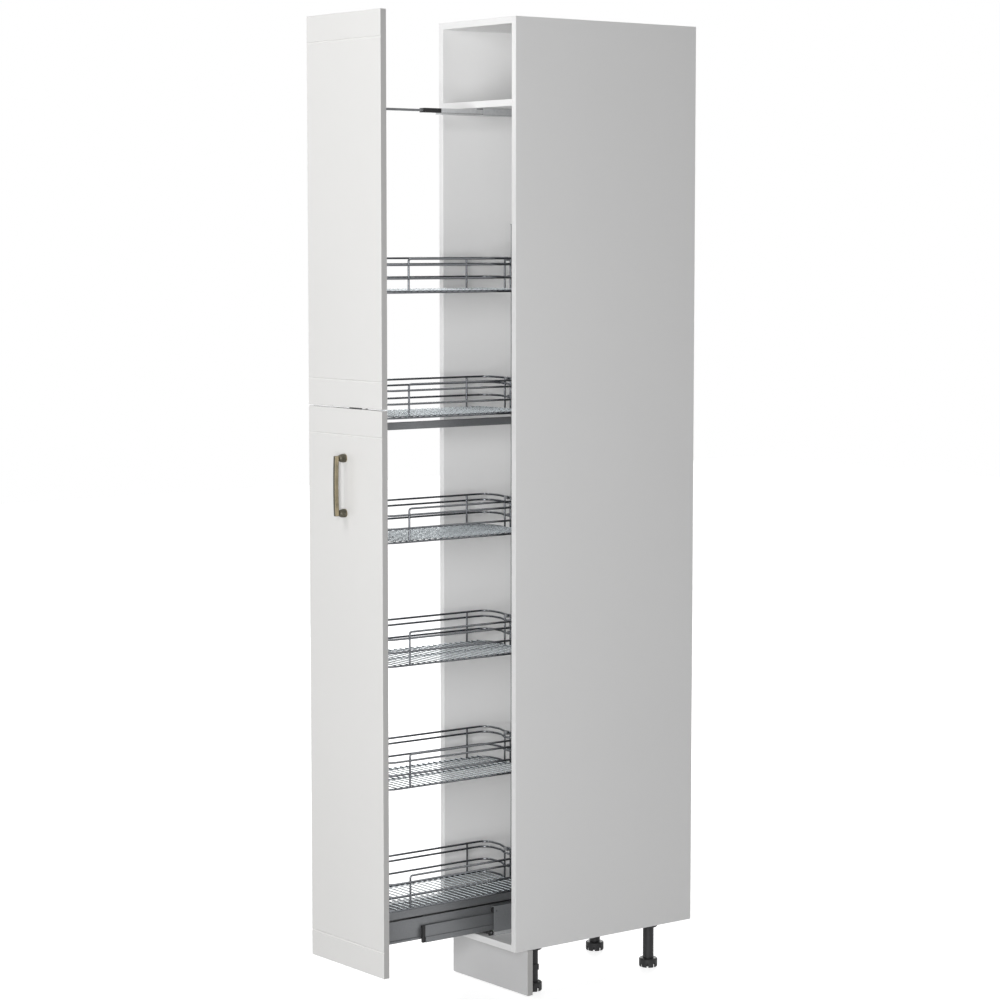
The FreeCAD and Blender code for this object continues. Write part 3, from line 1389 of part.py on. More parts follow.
def handle_post(level):
    """A bell-shaped foot, from the front's face to the bar."""
    face = size(f"{DOOR_REAR} - front_board")
    reach = size("handle_reach - handle_bow - handle_bar_depth / 2")
    base, neck = size("handle_base_radius"), size("handle_neck_radius")
    centre, base_rim = Vector(), Vector(base, 0, 0)
    base_top = Vector(base, size("handle_base_height"), 0)
    neck_low, neck_top = Vector(neck, size("handle_neck_start"), 0), Vector(neck, reach, 0)
    bar_centre = Vector(0, reach, 0)
    bell = Part.BezierCurve()
    bell.setPoles([base_top, Vector(size("handle_bell_radius"), size("handle_bell_height"), 0),
                   Vector(size("handle_shoulder_radius"), size("handle_shoulder_height"), 0), neck_low])
    edges = (straight(centre, base_rim) + straight(base_rim, base_top) + [bell.toShape()]
             + straight(neck_low, neck_top) + straight(neck_top, bar_centre)
             + straight(bar_centre, centre))
    post = Part.Face(Part.Wire(edges)).revolve(Vector(), Vector(0, 1, 0), 360)
    post.rotate(Vector(), Vector(0, 0, 1), 180)
    post.translate(Vector(0, face, level))
    return post


def handle():
    levels = [size(f"handle_level {sign} handle_centres / 2") for sign in ("-", "+")]
    shape = handle_bar().fuse([handle_post(level) for level in levels]).removeSplitter()
    length = size("front_board + handle_bolt_bite")
    holes = [Part.makeCylinder(size("bolt_radius"), length, seat, Vector(0, -1, 0))
             for seat in handle_seats()]
    keep(feature("bow_handle", shape.cut(holes)), "bow_handle")
    screws("handle_bolts", screw_shape(size("bolt_head_radius"), size("bolt_head_height"),
                                       size("bolt_radius"), length), (handle_seats(), Vector(0, -1, 0)))


# ---------------------------------------------------------------- build and export

def check_and_export():
    """Stop on any failed object or bad sub-part, then write one file for each."""
    DOC.recompute()
    failed = [item.Name for item in DOC.Objects if {"Invalid", "Error"} & set(item.State)]
    for item in PIECES:
        if item.Shape.isNull() or not item.Shape.isValid() or not item.Shape.Solids:
            failed.append(item.Label)
    if failed:
        raise RuntimeError("failed objects: " + ", ".join(failed))
    os.makedirs("parts", exist_ok=True)
    for item in PIECES:
        item.Shape.exportStep(os.path.join("parts", f"{item.Label}.step"))
    print(len(PIECES), "sub-parts,", sum(len(item.Shape.Solids) for item in PIECES), "solids")


fill_sheet()
carcass()
screws("cabinet_screws", wood_screw(), (socket_screw_seats(), Vector(0, 0, 1)),
       (guide_screw_seats(), Vector(0, 0, 1)), (tray_screw_seats(), Vector(0, 0, -1)))
legs()
plinth()
bottom_runner()
rollers()
top_guide()
moving_frame()
baskets()
fronts()
handle()
check_and_export()
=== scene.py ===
"""Looks of the pull-out larder unit: finishes, smooth wire baskets, floor, light and camera."""

import json
import math

import bmesh
import bpy
from mathutils import Matrix, Vector


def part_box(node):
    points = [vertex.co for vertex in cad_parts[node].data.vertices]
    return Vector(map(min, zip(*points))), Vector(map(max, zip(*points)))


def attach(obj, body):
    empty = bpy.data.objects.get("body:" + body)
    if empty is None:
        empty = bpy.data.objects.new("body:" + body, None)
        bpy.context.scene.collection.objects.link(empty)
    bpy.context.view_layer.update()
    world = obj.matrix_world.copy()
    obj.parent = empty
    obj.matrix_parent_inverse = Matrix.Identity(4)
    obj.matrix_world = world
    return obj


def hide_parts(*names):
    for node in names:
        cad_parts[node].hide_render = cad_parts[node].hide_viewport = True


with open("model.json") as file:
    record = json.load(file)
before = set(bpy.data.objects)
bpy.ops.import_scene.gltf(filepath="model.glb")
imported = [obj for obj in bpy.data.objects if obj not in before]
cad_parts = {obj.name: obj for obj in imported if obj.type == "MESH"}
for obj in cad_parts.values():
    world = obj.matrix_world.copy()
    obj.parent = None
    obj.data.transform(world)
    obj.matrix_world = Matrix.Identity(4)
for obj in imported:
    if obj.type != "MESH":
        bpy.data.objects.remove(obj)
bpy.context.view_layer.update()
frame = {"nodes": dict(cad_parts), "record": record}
NODES = frame["nodes"]
MM = 0.001


def rgb(red, green, blue):
    """A linear colour with its alpha."""
    return (red, green, blue, 1)


def grey(level):
    return rgb(level, level, level)


WHITE = grey(1)

# ---------------------------------------------------------------- camera, light and floor

# the view that lays the unit's corners over those in the photograph
CAMERA_PLACE = (5.3506, -4.152, 1.8151)
CAMERA_YAW = math.radians(52.204)
CAMERA_DOWN = math.radians(5.281)
CAMERA_LENS = 101.26
CAMERA_SENSOR = 36.0
CAMERA_REACH = 60.0

# the lamps point at the middle of the unit
MIDDLE = (0.0, -0.1, 1.3)
LAMPS = {
    # name: (place, width and height, power)
    "left": ((-3.6, -3.8, 1.5), (1.6, 3.4), 22.0),
    "right": ((4.1, -4.1, 1.5), (1.6, 3.4), 245.0),
    "top": ((-0.4, -3.0, 4.6), (2.0, 2.0), 58.0),
    "rear": ((-4.6, 4.2, 3.0), (3.0, 3.0), 150.0),
}
LAMP_SHINE = 0.05
WORLD_LEVEL = 0.1
BACKDROP_LEVEL = 1.0
FLOOR_HALF = 12.0
FLOOR_COLOUR = grey(0.4)
FLOOR_ROUGHNESS = 0.6
# the floor's glow under the unit, and how far out it is as bright as the backdrop
FLOOR_GLOW = 0.8
FLOOR_WHITE_FROM = 2.5


def link(item):
    """Puts an object into the scene."""
    bpy.context.scene.collection.objects.link(item)


def make_camera():
    data = bpy.data.cameras.new("camera")
    data.lens = CAMERA_LENS
    data.sensor_width = CAMERA_SENSOR
    data.clip_end = CAMERA_REACH
    camera = bpy.data.objects.new("camera", data)
    camera.location = CAMERA_PLACE
    camera.rotation_euler = (math.pi / 2 - CAMERA_DOWN, 0, CAMERA_YAW)
    link(camera)
    bpy.context.scene.camera = camera


def make_lights():
    """Large soft lamps round the object, none of them in the camera's way."""
    for name, (place, size, power) in LAMPS.items():
        data = bpy.data.lights.new(name, "AREA")
        data.shape = "RECTANGLE"
        data.size, data.size_y = size
        data.energy = power
        data.specular_factor = LAMP_SHINE
        lamp = bpy.data.objects.new(name, data)
        lamp.location = place
        lamp.rotation_euler = (Vector(MIDDLE) - Vector(place)).to_track_quat("-Z", "Y").to_euler()
        lamp.visible_camera = False
        link(lamp)


def seen_directly(nodes, links):
    """1 where a surface is seen by the camera, in a reflection or through glass."""
    path = nodes.new("ShaderNodeLightPath")
    seen = path.outputs["Is Camera Ray"]
    for ray in ("Is Glossy Ray", "Is Transmission Ray"):
        most = nodes.new("ShaderNodeMath")
        most.operation = "MAXIMUM"
        links.new(seen, most.inputs[0])
        links.new(path.outputs[ray], most.inputs[1])
        seen = most.outputs[0]
    return seen


def make_world():
    """White where it is seen, and a low even light on the object."""
    world = bpy.data.worlds.new("studio")
    bpy.context.scene.world = world
    world.use_nodes = True
    nodes, links = world.node_tree.nodes, world.node_tree.links
    nodes.clear()
    mix = nodes.new("ShaderNodeMixShader")
    for number, level in enumerate((WORLD_LEVEL, BACKDROP_LEVEL), start=1):
        light = nodes.new("ShaderNodeBackground")
        light.inputs["Color"].default_value = WHITE
        light.inputs["Strength"].default_value = level
        links.new(light.outputs[0], mix.inputs[number])
    links.new(seen_directly(nodes, links), mix.inputs["Fac"])
    out = nodes.new("ShaderNodeOutputWorld")
    links.new(mix.outputs[0], out.inputs["Surface"])


def make_floor():
    """A pale floor that glows to white where it is seen, and still takes the object's shadow."""
    mesh = bpy.data.meshes.new("floor")
    half = FLOOR_HALF
    mesh.from_pydata([(-half, -half, 0), (half, -half, 0), (half, half, 0), (-half, half, 0)],
                     [], [(0, 1, 2, 3)])
    floor = bpy.data.objects.new("floor", mesh)
    link(floor)
    look = Look("floor_white", FLOOR_COLOUR, FLOOR_ROUGHNESS)
    distance = look.node("ShaderNodeVectorMath")
    distance.operation = "LENGTH"
    look.join(look.place, distance.inputs[0])
    glow = look.node("ShaderNodeEmission")
    level = look.spread(distance.outputs["Value"], 0, FLOOR_WHITE_FROM, FLOOR_GLOW, BACKDROP_LEVEL)
    look.join(level, glow.inputs["Strength"])
    lit = look.node("ShaderNodeAddShader")
    look.join(look.shader.outputs[0], lit.inputs[0])
    look.join(glow.outputs[0], lit.inputs[1])
    pick = look.node("ShaderNodeMixShader")
    look.join(seen_directly(look.nodes, look.links), pick.inputs["Fac"])
    look.join(look.shader.outputs[0], pick.inputs[1])
    look.join(lit.outputs[0], pick.inputs[2])
    look.join(pick.outputs[0], look.out.inputs["Surface"])
    mesh.materials.append(look.material)


# ---------------------------------------------------------------- materials

# the part of a noise's range that is used, with the rest clamped to its ends
NOISE_MIDDLE = (0.3, 0.7)
# a face begins to count as a cut edge for the foil's painted shade, and counts whole, at these parts of its
# direction along X or Z
CUT_EDGE = (0.8, 0.95)
SKY_SAMPLES = 8
# the outer faces' painted shade, a duller white, begins and is whole at these distances from the unit's
# middle plane
OUTER_FACE_SHADE = (148.5 * MM, 149.5 * MM)
# between these depths the handle's bar ends and its feet begin
HANDLE_BACK = (-478.0 * MM, -475.5 * MM)
# how far handling haze darkens and lightens chrome
HAZE = (0.88, 1.12)
# a wire's painted highlight on top begins and is whole at these parts of its surface's direction along Z
WIRE_LIT_TOP = (0.1, 0.7)


class Look:
    """A material built round one Principled shader, in the object's own coordinates.

    A noise's scale is in waves a metre, and a stretch below 1 draws it out along that axis.
    """

    def __init__(self, name, colour, roughness, metallic=0.0):
        self.material = bpy.data.materials.new(name)
        self.material.use_nodes = True
        self.nodes = self.material.node_tree.nodes
        self.links = self.material.node_tree.links
        self.nodes.clear()
        self.out = self.node("ShaderNodeOutputMaterial")
        self.shader = self.node("ShaderNodeBsdfPrincipled")
        self.set("Base Color", colour)
        self.set("Roughness", roughness)
        self.set("Metallic", metallic)
        self.join(self.shader.outputs[0], self.out.inputs["Surface"])
        self.place = self.node("ShaderNodeTexCoord").outputs["Object"]
        self.bumped = None

    def node(self, kind):
        return self.nodes.new(kind)

    def join(self, source, target):
        self.links.new(source, target)

    def set(self, name, value):
        """A value that is the same all over the surface."""
        self.shader.inputs[name].default_value = value

    def stretched(self, scale):
        """The object's coordinates, scaled per axis."""
        mapping = self.node("ShaderNodeMapping")
        mapping.inputs["Scale"].default_value = scale
        self.join(self.place, mapping.inputs["Vector"])
        return mapping.outputs[0]

    def noise(self, scale, detail=3.0, roughness=0.5, stretch=None):
        texture = self.node("ShaderNodeTexNoise")
        texture.inputs["Scale"].default_value = scale
        texture.inputs["Detail"].default_value = detail
        texture.inputs["Roughness"].default_value = roughness
        self.join(self.stretched(stretch) if stretch else self.place, texture.inputs["Vector"])
        return texture.outputs["Fac"]

    def cells(self, scale):
        """Rounded cells, as the distance from each one's middle."""
        texture = self.node("ShaderNodeTexVoronoi")
        texture.feature = "SMOOTH_F1"
        texture.inputs["Scale"].default_value = scale
        self.join(self.place, texture.inputs["Vector"])
        return texture.outputs["Distance"]

    def spread(self, value, low, high, to_low=0, to_high=1):
        """A value's range, mapped on to another and clamped."""
        change = self.node("ShaderNodeMapRange")
        for name, number in (("From Min", low), ("From Max", high), ("To Min", to_low), ("To Max", to_high)):
            change.inputs[name].default_value = number
        self.join(value, change.inputs["Value"])
        return change.outputs["Result"]

    def colours(self, value, first, last):
        """A colour between two, by a value from 0 to 1."""
        ramp = self.node("ShaderNodeValToRGB")
        ramp.color_ramp.elements[0].color = first
        ramp.color_ramp.elements[1].color = last
        self.join(value, ramp.inputs["Fac"])
        return ramp.outputs["Color"]

    def mixed(self, factor, first, second):
        """One colour blended into another; each is a socket or a fixed colour."""
        mix = self.node("ShaderNodeMix")
        mix.data_type = "RGBA"
        self.join(factor, mix.inputs["Factor"])
        for socket, colour in ((mix.inputs["A"], first), (mix.inputs["B"], second)):
            if isinstance(colour, tuple):
                socket.default_value = colour
            else:
                self.join(colour, socket)
        return mix.outputs["Result"]

    def facing(self):
        """The surface's direction, in the object's own axes."""
        return self.node("ShaderNodeTexCoord").outputs["Normal"]

    def part(self, vector, axis):
        """One component of a vector."""
        parts = self.node("ShaderNodeSeparateXYZ")
        self.join(vector, parts.inputs[0])
        return parts.outputs[axis]

    def size_along(self, vector, axis):
        """The absolute value of one component of a vector."""
        size = self.node("ShaderNodeMath")
        size.operation = "ABSOLUTE"
        self.join(self.part(vector, axis), size.inputs[0])
        return size.outputs[0]

    def larger(self, first, second):
        most = self.node("ShaderNodeMath")
        most.operation = "MAXIMUM"
        self.join(first, most.inputs[0])
        self.join(second, most.inputs[1])
        return most.outputs[0]

    def shaded_edge_faces(self):
        """1 on the faces towards the sides, top and bottom, 0 on those to the front and rear."""
        sideways = self.larger(self.size_along(self.facing(), "X"), self.size_along(self.facing(), "Z"))
        return self.spread(sideways, *CUT_EDGE)

    def crevices(self, reach, closed=0.3, open_from=0.75):
        """1 in narrow gaps and inner corners within a reach, 0 in the open."""
        sky = self.node("ShaderNodeAmbientOcclusion")
        sky.samples = SKY_SAMPLES
        sky.inputs["Distance"].default_value = reach
        return self.spread(sky.outputs["AO"], closed, open_from, 1, 0)

    def edges(self, low, high):
        """1 along convex edges, 0 on flats."""
        geometry = self.node("ShaderNodeNewGeometry")
        return self.spread(geometry.outputs["Pointiness"], low, high)

    def paint(self, colour):
        self.join(colour, self.shader.inputs["Base Color"])

    def gloss(self, value, low, high):
        """Roughness that wanders between two levels."""
        self.join(self.spread(value, *NOISE_MIDDLE, low, high), self.shader.inputs["Roughness"])

    def bump(self, value, height):
        """Adds relief, in metres of height, over any relief already there."""
        relief = self.node("ShaderNodeBump")
        relief.inputs["Distance"].default_value = height
        relief.inputs["Strength"].default_value = 1.0
        self.join(value, relief.inputs["Height"])
        if self.bumped is not None:
            self.join(self.bumped, relief.inputs["Normal"])
        self.bumped = relief.outputs["Normal"]
        self.join(self.bumped, self.shader.inputs["Normal"])


def foil_look():
    """White foil on the fronts: satin, with a faint upright grain, painted shade on its edge faces, and
    painted shade in the gap between the fronts and other close corners.
    """
    look = Look("front_foil", rgb(0.80, 0.795, 0.782), roughness=0.42)
    cloud = look.colours(look.noise(3.0, detail=4.0), rgb(0.785, 0.78, 0.766), rgb(0.815, 0.81, 0.798))
    # painted shade: the faces towards the sides, top and bottom are painted grey
    board = look.mixed(look.shaded_edge_faces(), cloud, rgb(0.50, 0.495, 0.49))
    # painted shade: near black wherever the surface is occluded within 12 mm
    joint_shade = look.crevices(12 * MM, closed=0.3, open_from=0.55)
    look.paint(look.mixed(joint_shade, board, rgb(0.06, 0.055, 0.05)))
    look.gloss(look.noise(40.0), 0.36, 0.48)
    look.bump(look.noise(260.0, detail=4.0, roughness=0.6, stretch=(1, 1, 0.04)), 0.06 * MM)
    look.bump(look.noise(1400.0, detail=2.0), 0.02 * MM)
    look.set("Specular IOR Level", 0.28)
    return look.material


def shaded_plinth_look():
    """The same foil on the plinth, painted greyer as painted shade under the unit, with scuffs, and with
    painted shade on its ends.
    """
    look = Look("plinth_foil", grey(0.62), roughness=0.46)
    # painted shade: the foil is painted greyer here than on the fronts
    cloud = look.colours(look.noise(4.0, detail=4.0), rgb(0.60, 0.60, 0.605), rgb(0.66, 0.66, 0.662))
    scuffs = look.noise(55.0, detail=6.0, roughness=0.75, stretch=(1, 1, 4))
    board = look.mixed(look.spread(scuffs, 0.62, 0.72, 0, 0.5), cloud, grey(0.52))
    # painted shade: the faces towards the sides are painted darker still
    look.paint(look.mixed(look.size_along(look.facing(), "X"), board, rgb(0.45, 0.447, 0.44)))
    look.gloss(look.noise(40.0), 0.38, 0.52)
    look.bump(look.noise(260.0, detail=4.0, roughness=0.6, stretch=(0.04, 1, 1)), 0.06 * MM)
    return look.material


def melamine_look():
    """White melamine board: a pearl texture, painted brighter on the inner faces as painted light and duller
    on the outer faces as painted shade.
    """
    look = Look("board_white", grey(0.9), roughness=0.5)
    cloud = look.noise(2.2, detail=4.0)
    # painted light: the inner faces are painted a brighter white
    inside = look.colours(cloud, grey(0.875), rgb(0.90, 0.90, 0.897))
    # painted shade: the outer faces are painted a duller white
    painted_shade_outside = look.colours(cloud, grey(0.775), rgb(0.80, 0.80, 0.797))
    outer_face_shade = look.spread(look.size_along(look.place, "X"), *OUTER_FACE_SHADE)
    look.paint(look.mixed(outer_face_shade, inside, painted_shade_outside))
    look.gloss(look.noise(60.0), 0.44, 0.56)
    look.bump(look.noise(900.0, roughness=0.6), 0.05 * MM)
    look.bump(look.cells(420.0), 0.03 * MM)
    look.set("Specular IOR Level", 0.4)
    return look.material


def back_look():
    """Lacquered fibreboard, smoother than the boards and a little duller."""
    look = Look("back_white", rgb(0.80, 0.80, 0.79), roughness=0.6)
    look.paint(look.colours(look.noise(5.0, detail=5.0), rgb(0.78, 0.78, 0.765), rgb(0.82, 0.82, 0.81)))
    look.gloss(look.noise(90.0), 0.5, 0.65)
    look.bump(look.noise(700.0, detail=4.0, roughness=0.65), 0.06 * MM)
    return look.material


def beech_look():
    """Dowel beech, with short dark flecks along the grain."""
    look = Look("beech", rgb(0.62, 0.42, 0.24), roughness=0.6)
    grain = look.noise(400.0, detail=5.0, roughness=0.6, stretch=(0.1, 1, 1))
    flecks = look.spread(grain, 0.35, 0.65)
    look.paint(look.colours(flecks, rgb(0.50, 0.31, 0.16), rgb(0.68, 0.48, 0.29)))
    look.bump(grain, 0.1 * MM)
    return look.material


def zinc_look():
    """Die-cast zinc, grained and a little cloudy."""
    look = Look("zinc", rgb(0.55, 0.55, 0.54), roughness=0.4, metallic=1.0)
    look.paint(look.colours(look.noise(300.0, detail=4.0), rgb(0.44, 0.44, 0.43), rgb(0.62, 0.62, 0.61)))
    look.gloss(look.noise(500.0), 0.32, 0.5)
    look.bump(look.noise(1500.0), 0.04 * MM)
    return look.material


def screw_look():
    """Zinc-plated steel, bright with a slight yellow and blue cast in patches."""
    look = Look("screw_steel", rgb(0.62, 0.62, 0.60), roughness=0.3, metallic=1.0)
    look.paint(look.colours(look.noise(120.0), rgb(0.55, 0.56, 0.58), rgb(0.68, 0.66, 0.60)))
    look.gloss(look.noise(700.0), 0.24, 0.4)
    look.bump(look.noise(2500.0, detail=2.0), 0.02 * MM)
    return look.material


def chrome_look(name, side, top, gloss):
    """Chrome on drawn wire, with a painted highlight on top and painted dark reflections on its sides, with
    handling haze.
    """
    look = Look(name, rgb(*top), roughness=gloss[1], metallic=1.0)
    haze = look.noise(25.0, detail=4.0)
    # painted reflection: dark colours for the wires' sides, bright ones for their upper faces
    sides, lit_tops = [look.colours(haze, *[rgb(*[share * part for part in colour]) for share in HAZE])
                   for colour in (side, top)]
    # painted highlight: the mask is 1 on the faces that look upwards
    lit_top_mask = look.spread(look.part(look.facing(), "Z"), *WIRE_LIT_TOP)
    look.paint(look.mixed(lit_top_mask, sides, lit_tops))
    look.gloss(look.noise(180.0, detail=4.0), *gloss)
    look.bump(look.noise(1200.0, detail=2.0), 0.02 * MM)
    return look


def rim_wire_look():
    """The thick wires: the rims, the raised rails, the hangers and the stays."""
    # painted reflection: dark sides and a brighter painted highlight on top
    look = chrome_look("chrome_wire", side=(0.115, 0.12, 0.13), top=(0.33, 0.34, 0.355), gloss=(0.10, 0.24))
    look.set("Specular Tint", rgb(0.30, 0.31, 0.33))
    return look.material


def floor_wire_look():
    """The thin floor wires, hazier, and with a paler painted highlight on top."""
    # painted reflection: dark sides and a pale painted highlight on top
    look = chrome_look("chrome_floor", side=(0.125, 0.14, 0.155), top=(0.76, 0.82, 0.85), gloss=(0.22, 0.36))
    look.set("Metallic", 0.7)
    return look.material


def powder_look(name="grey_steel", shade=0.2):
    """Dark grey powder coat with its fine orange peel, painted shade in the gaps and inner corners, rubbed
    brighter on the edges.
    """
    look = Look(name, grey(shade), roughness=0.45)
    speck = look.spread(look.noise(900.0), *NOISE_MIDDLE)
    dark, light = [rgb(0.97 * tone, tone, 1.04 * tone) for tone in (0.92 * shade, 1.14 * shade)]
    # painted shade: near black wherever the surface is occluded within 5 mm
    gaps = look.crevices(5 * MM, closed=0.25, open_from=0.6)
    look.paint(look.mixed(gaps, look.colours(speck, dark, light), rgb(0.02, 0.021, 0.023)))
    look.gloss(look.noise(150.0), 0.34, 0.5)
    look.bump(look.noise(1100.0, detail=2.0), 0.06 * MM)
    rubbed = look.spread(look.edges(0.52, 0.6), 0, 1, 0.35, 0.55)
    look.join(rubbed, look.shader.inputs["Metallic"])
    return look.material


def lit_powder_look():
    """The same coat painted a shade lighter, as painted light on the fixed runner in the bay's shadow."""
    return powder_look("light_steel", shade=0.3)


def galvanised_look():
    """Bright galvanised sheet, with its faint spangle and rolling lines, and painted shade in its gaps."""
    look = Look("bright_steel", rgb(0.62, 0.63, 0.64), roughness=0.4, metallic=0.55)
    spangle = look.colours(look.cells(160.0), rgb(0.56, 0.57, 0.585), rgb(0.68, 0.685, 0.69))
    # painted shade: dark grey wherever the surface is occluded within 6 mm
    look.paint(look.mixed(look.crevices(6 * MM), spangle, rgb(0.16, 0.16, 0.165)))
    look.gloss(look.noise(120.0), 0.32, 0.46)
    look.bump(look.noise(900.0, detail=2.0, stretch=(1, 0.05, 1)), 0.02 * MM)
    return look.material


def black_plastic_look():
    """Black moulded plastic with a spark-eroded texture and paler scuffs."""
    look = Look("black_plastic", rgb(0.045, 0.045, 0.047), roughness=0.5)
    scuffs = look.spread(look.noise(70.0, detail=6.0, roughness=0.7), 0.55, 0.75)
    look.paint(look.colours(scuffs, rgb(0.018, 0.018, 0.019), rgb(0.040, 0.040, 0.042)))
    look.gloss(look.noise(220.0), 0.42, 0.6)
    look.bump(look.noise(1600.0, roughness=0.6), 0.08 * MM)
    look.set("Specular IOR Level", 0.35)
    return look.material


def white_plastic_look():
    """Natural glide plastic: waxy, slightly see-through."""
    look = Look("white_plastic", rgb(0.78, 0.78, 0.74), roughness=0.35)
    look.paint(look.colours(look.noise(60.0), rgb(0.76, 0.76, 0.71), rgb(0.81, 0.81, 0.78)))
    look.gloss(look.noise(300.0), 0.28, 0.42)
    look.bump(look.noise(900.0, detail=2.0), 0.04 * MM)
    look.set("Subsurface Weight", 0.15)
    look.set("Subsurface Scale", 2 * MM)
    return look.material


def bronze_look():
    """Antique bronze: dark on the front and the feet, with a painted reflection lightening the bar's flanks,
    brushed lengthwise.
    """
    look = Look("bronze", rgb(0.16, 0.13, 0.08), roughness=0.42, metallic=0.45)
    patina = look.spread(look.noise(70.0, detail=5.0, roughness=0.6), 0.35, 0.68)
    dark = look.colours(patina, rgb(0.036, 0.032, 0.02), rgb(0.062, 0.053, 0.034))
    flank_reflection = look.colours(patina, rgb(0.20, 0.17, 0.105), rgb(0.30, 0.255, 0.165))
    feet = look.colours(patina, rgb(0.06, 0.055, 0.038), rgb(0.125, 0.112, 0.08))
    # painted reflection: the faces towards the sides are painted lighter
    flank = look.spread(look.size_along(look.facing(), "X"), 0.35, 0.8)
    behind_bar = look.spread(look.part(look.place, "Y"), *HANDLE_BACK)
    whole = look.mixed(behind_bar, look.mixed(flank, dark, flank_reflection), feet)
    look.paint(look.mixed(look.edges(0.53, 0.62), whole, rgb(0.36, 0.30, 0.19)))
    look.gloss(look.noise(140.0), 0.34, 0.5)
    look.bump(look.noise(500.0, detail=4.0, roughness=0.6, stretch=(1, 1, 0.03)), 0.05 * MM)
    return look.material


def buffer_look():
    """Clear soft buffers, a little cloudy."""
    look = Look("buffer", rgb(0.85, 0.86, 0.87), roughness=0.25)
    look.gloss(look.noise(400.0, detail=2.0), 0.18, 0.32)
    look.bump(look.noise(800.0, detail=2.0), 0.05 * MM)
    look.set("Transmission Weight", 0.6)
    look.set("IOR", 1.42)
    return look.material


LOOKS = {
    "front_foil": foil_look,
    "plinth_foil": shaded_plinth_look,
    "board_white": melamine_look,
    "back_white": back_look,
    "beech": beech_look,
    "zinc": zinc_look,
    "screw_steel": screw_look,
    "chrome_wire": rim_wire_look,
    "chrome_floor": floor_wire_look,
    "grey_steel": powder_look,
    "light_steel": lit_powder_look,
    "bright_steel": galvanised_look,
    "black_plastic": black_plastic_look,
    "white_plastic": white_plastic_look,
    "bronze": bronze_look,
    "buffer": buffer_look,
}
# painted light and shade: the plinth wears a greyer copy of the foil, the fixed runner a lighter copy of the
# coat
OWN_LOOKS = {"plinth_board": "plinth_foil", "runner_housing": "light_steel"}


def dress_nodes(finishes):
    """Every carried-over node gets its slot's finish, or one of its own."""
    for entry in frame["record"]["subparts"]:
        node = entry["node"]
        mesh = NODES[node].data
        mesh.materials.clear()
        mesh.materials.append(finishes[OWN_LOOKS.get(node, entry["material_slot"])])


# ---------------------------------------------------------------- wire baskets

BASKETS = [f"basket_{number}" for number in range(1, 7)]
WIRE = 2.5 * MM
STAY_WIRE = 2.2 * MM
THIN_WIRE = 1.5 * MM

# the rims, and the hangers that they draw in to
RIM_CORNER = 30 * MM
RIM_BEND = 5 * MM
LOW_RIM = 32 * MM
HIGH_RIM = 63 * MM
RIM_LEVELS = (0, LOW_RIM, HIGH_RIM)
HANGER_HALF = 11 * MM
HANGER_NOTCH = 15 * MM
HANGER_BEND = 4 * MM

# the raised rails along the sides and round the rear end
RAIL_TOP = 77 * MM
RAIL_BEND = 6 * MM
RAIL_INSET = 4.25 * MM
RAIL_FRONT = 71 * MM
RAIL_REAR = 63 * MM
RAIL_RUN = RAIL_REAR - WIRE

# the floor wires, pressed into the base rim where they are welded on it
CROSS_PITCH = 16.7 * MM
CROSS_PROUD = 1.2 * MM
CROSS_LIFT = 0.6 * THIN_WIRE
CROSS_LEVEL = WIRE + CROSS_LIFT

# a weld bead's radius against its wire's, and how flat it lies
WELD_SIZE = 1.25
WELD_FLAT = 0.72

# how finely the bends, the wires' rounds and the beads are divided
ARC_STEPS = 8
TUBE_ROUNDNESS = 3
BEAD_DETAIL = 2
# points nearer to each other than this are one
SAME_POINT = 1e-6
# a basket's materials, in their order on its mesh
RIM_FINISH, FLOOR_FINISH = 0, 1


def bent_path(corners, bends):
    """Points along straight runs joined by tangent arcs, one bend for each inner corner."""
    points = [corners[0]]
    for bend, before, at, after in zip(bends, corners, corners[1:], corners[2:]):
        into = (at - before).normalized()
        away = (after - at).normalized()
        turn = into.angle(away)
        start = at - into * (bend * math.tan(turn / 2))
        across = (away - into).normalized()
        centre = at + across * (bend / math.cos(turn / 2))
        axis = into.cross(away).normalized()
        arm = start - centre
        points += [centre + Matrix.Rotation(turn * step / ARC_STEPS, 3, axis) @ arm
                   for step in range(ARC_STEPS + 1)]
    points.append(corners[-1])
    return [p for p, following in zip(points, points[1:] + [None])
            if following is None or (following - p).length > SAME_POINT]


class Wirework:
    """Round wires and weld beads, gathered into one mesh; the thin wires take its second material."""

    def __init__(self):
        self.by_radius = {}
        self.beads = []

    def run(self, corners, radius, bends=()):
        self.by_radius.setdefault(radius, []).append(bent_path(corners, bends))

    def weld(self, place, radius):
        self.beads.append((place, radius))

    def mesh(self, name):
        built = bmesh.new()
        for radius, paths in self.by_radius.items():
            part = tubes(paths, radius)
            first = len(built.faces)
            built.from_mesh(part)
            bpy.data.meshes.remove(part)
            built.faces.ensure_lookup_table()
            for face in built.faces[first:]:
                face.material_index = FLOOR_FINISH if radius == THIN_WIRE else RIM_FINISH
        flattened = Matrix.Diagonal((1, 1, WELD_FLAT, 1))
        for place, radius in self.beads:
            bmesh.ops.create_icosphere(built, subdivisions=BEAD_DETAIL, radius=radius * WELD_SIZE,
                                       matrix=Matrix.Translation(place) @ flattened)
        for face in built.faces:
            face.smooth = True
        mesh = bpy.data.meshes.new(name)
        built.to_mesh(mesh)
        built.free()
        return mesh


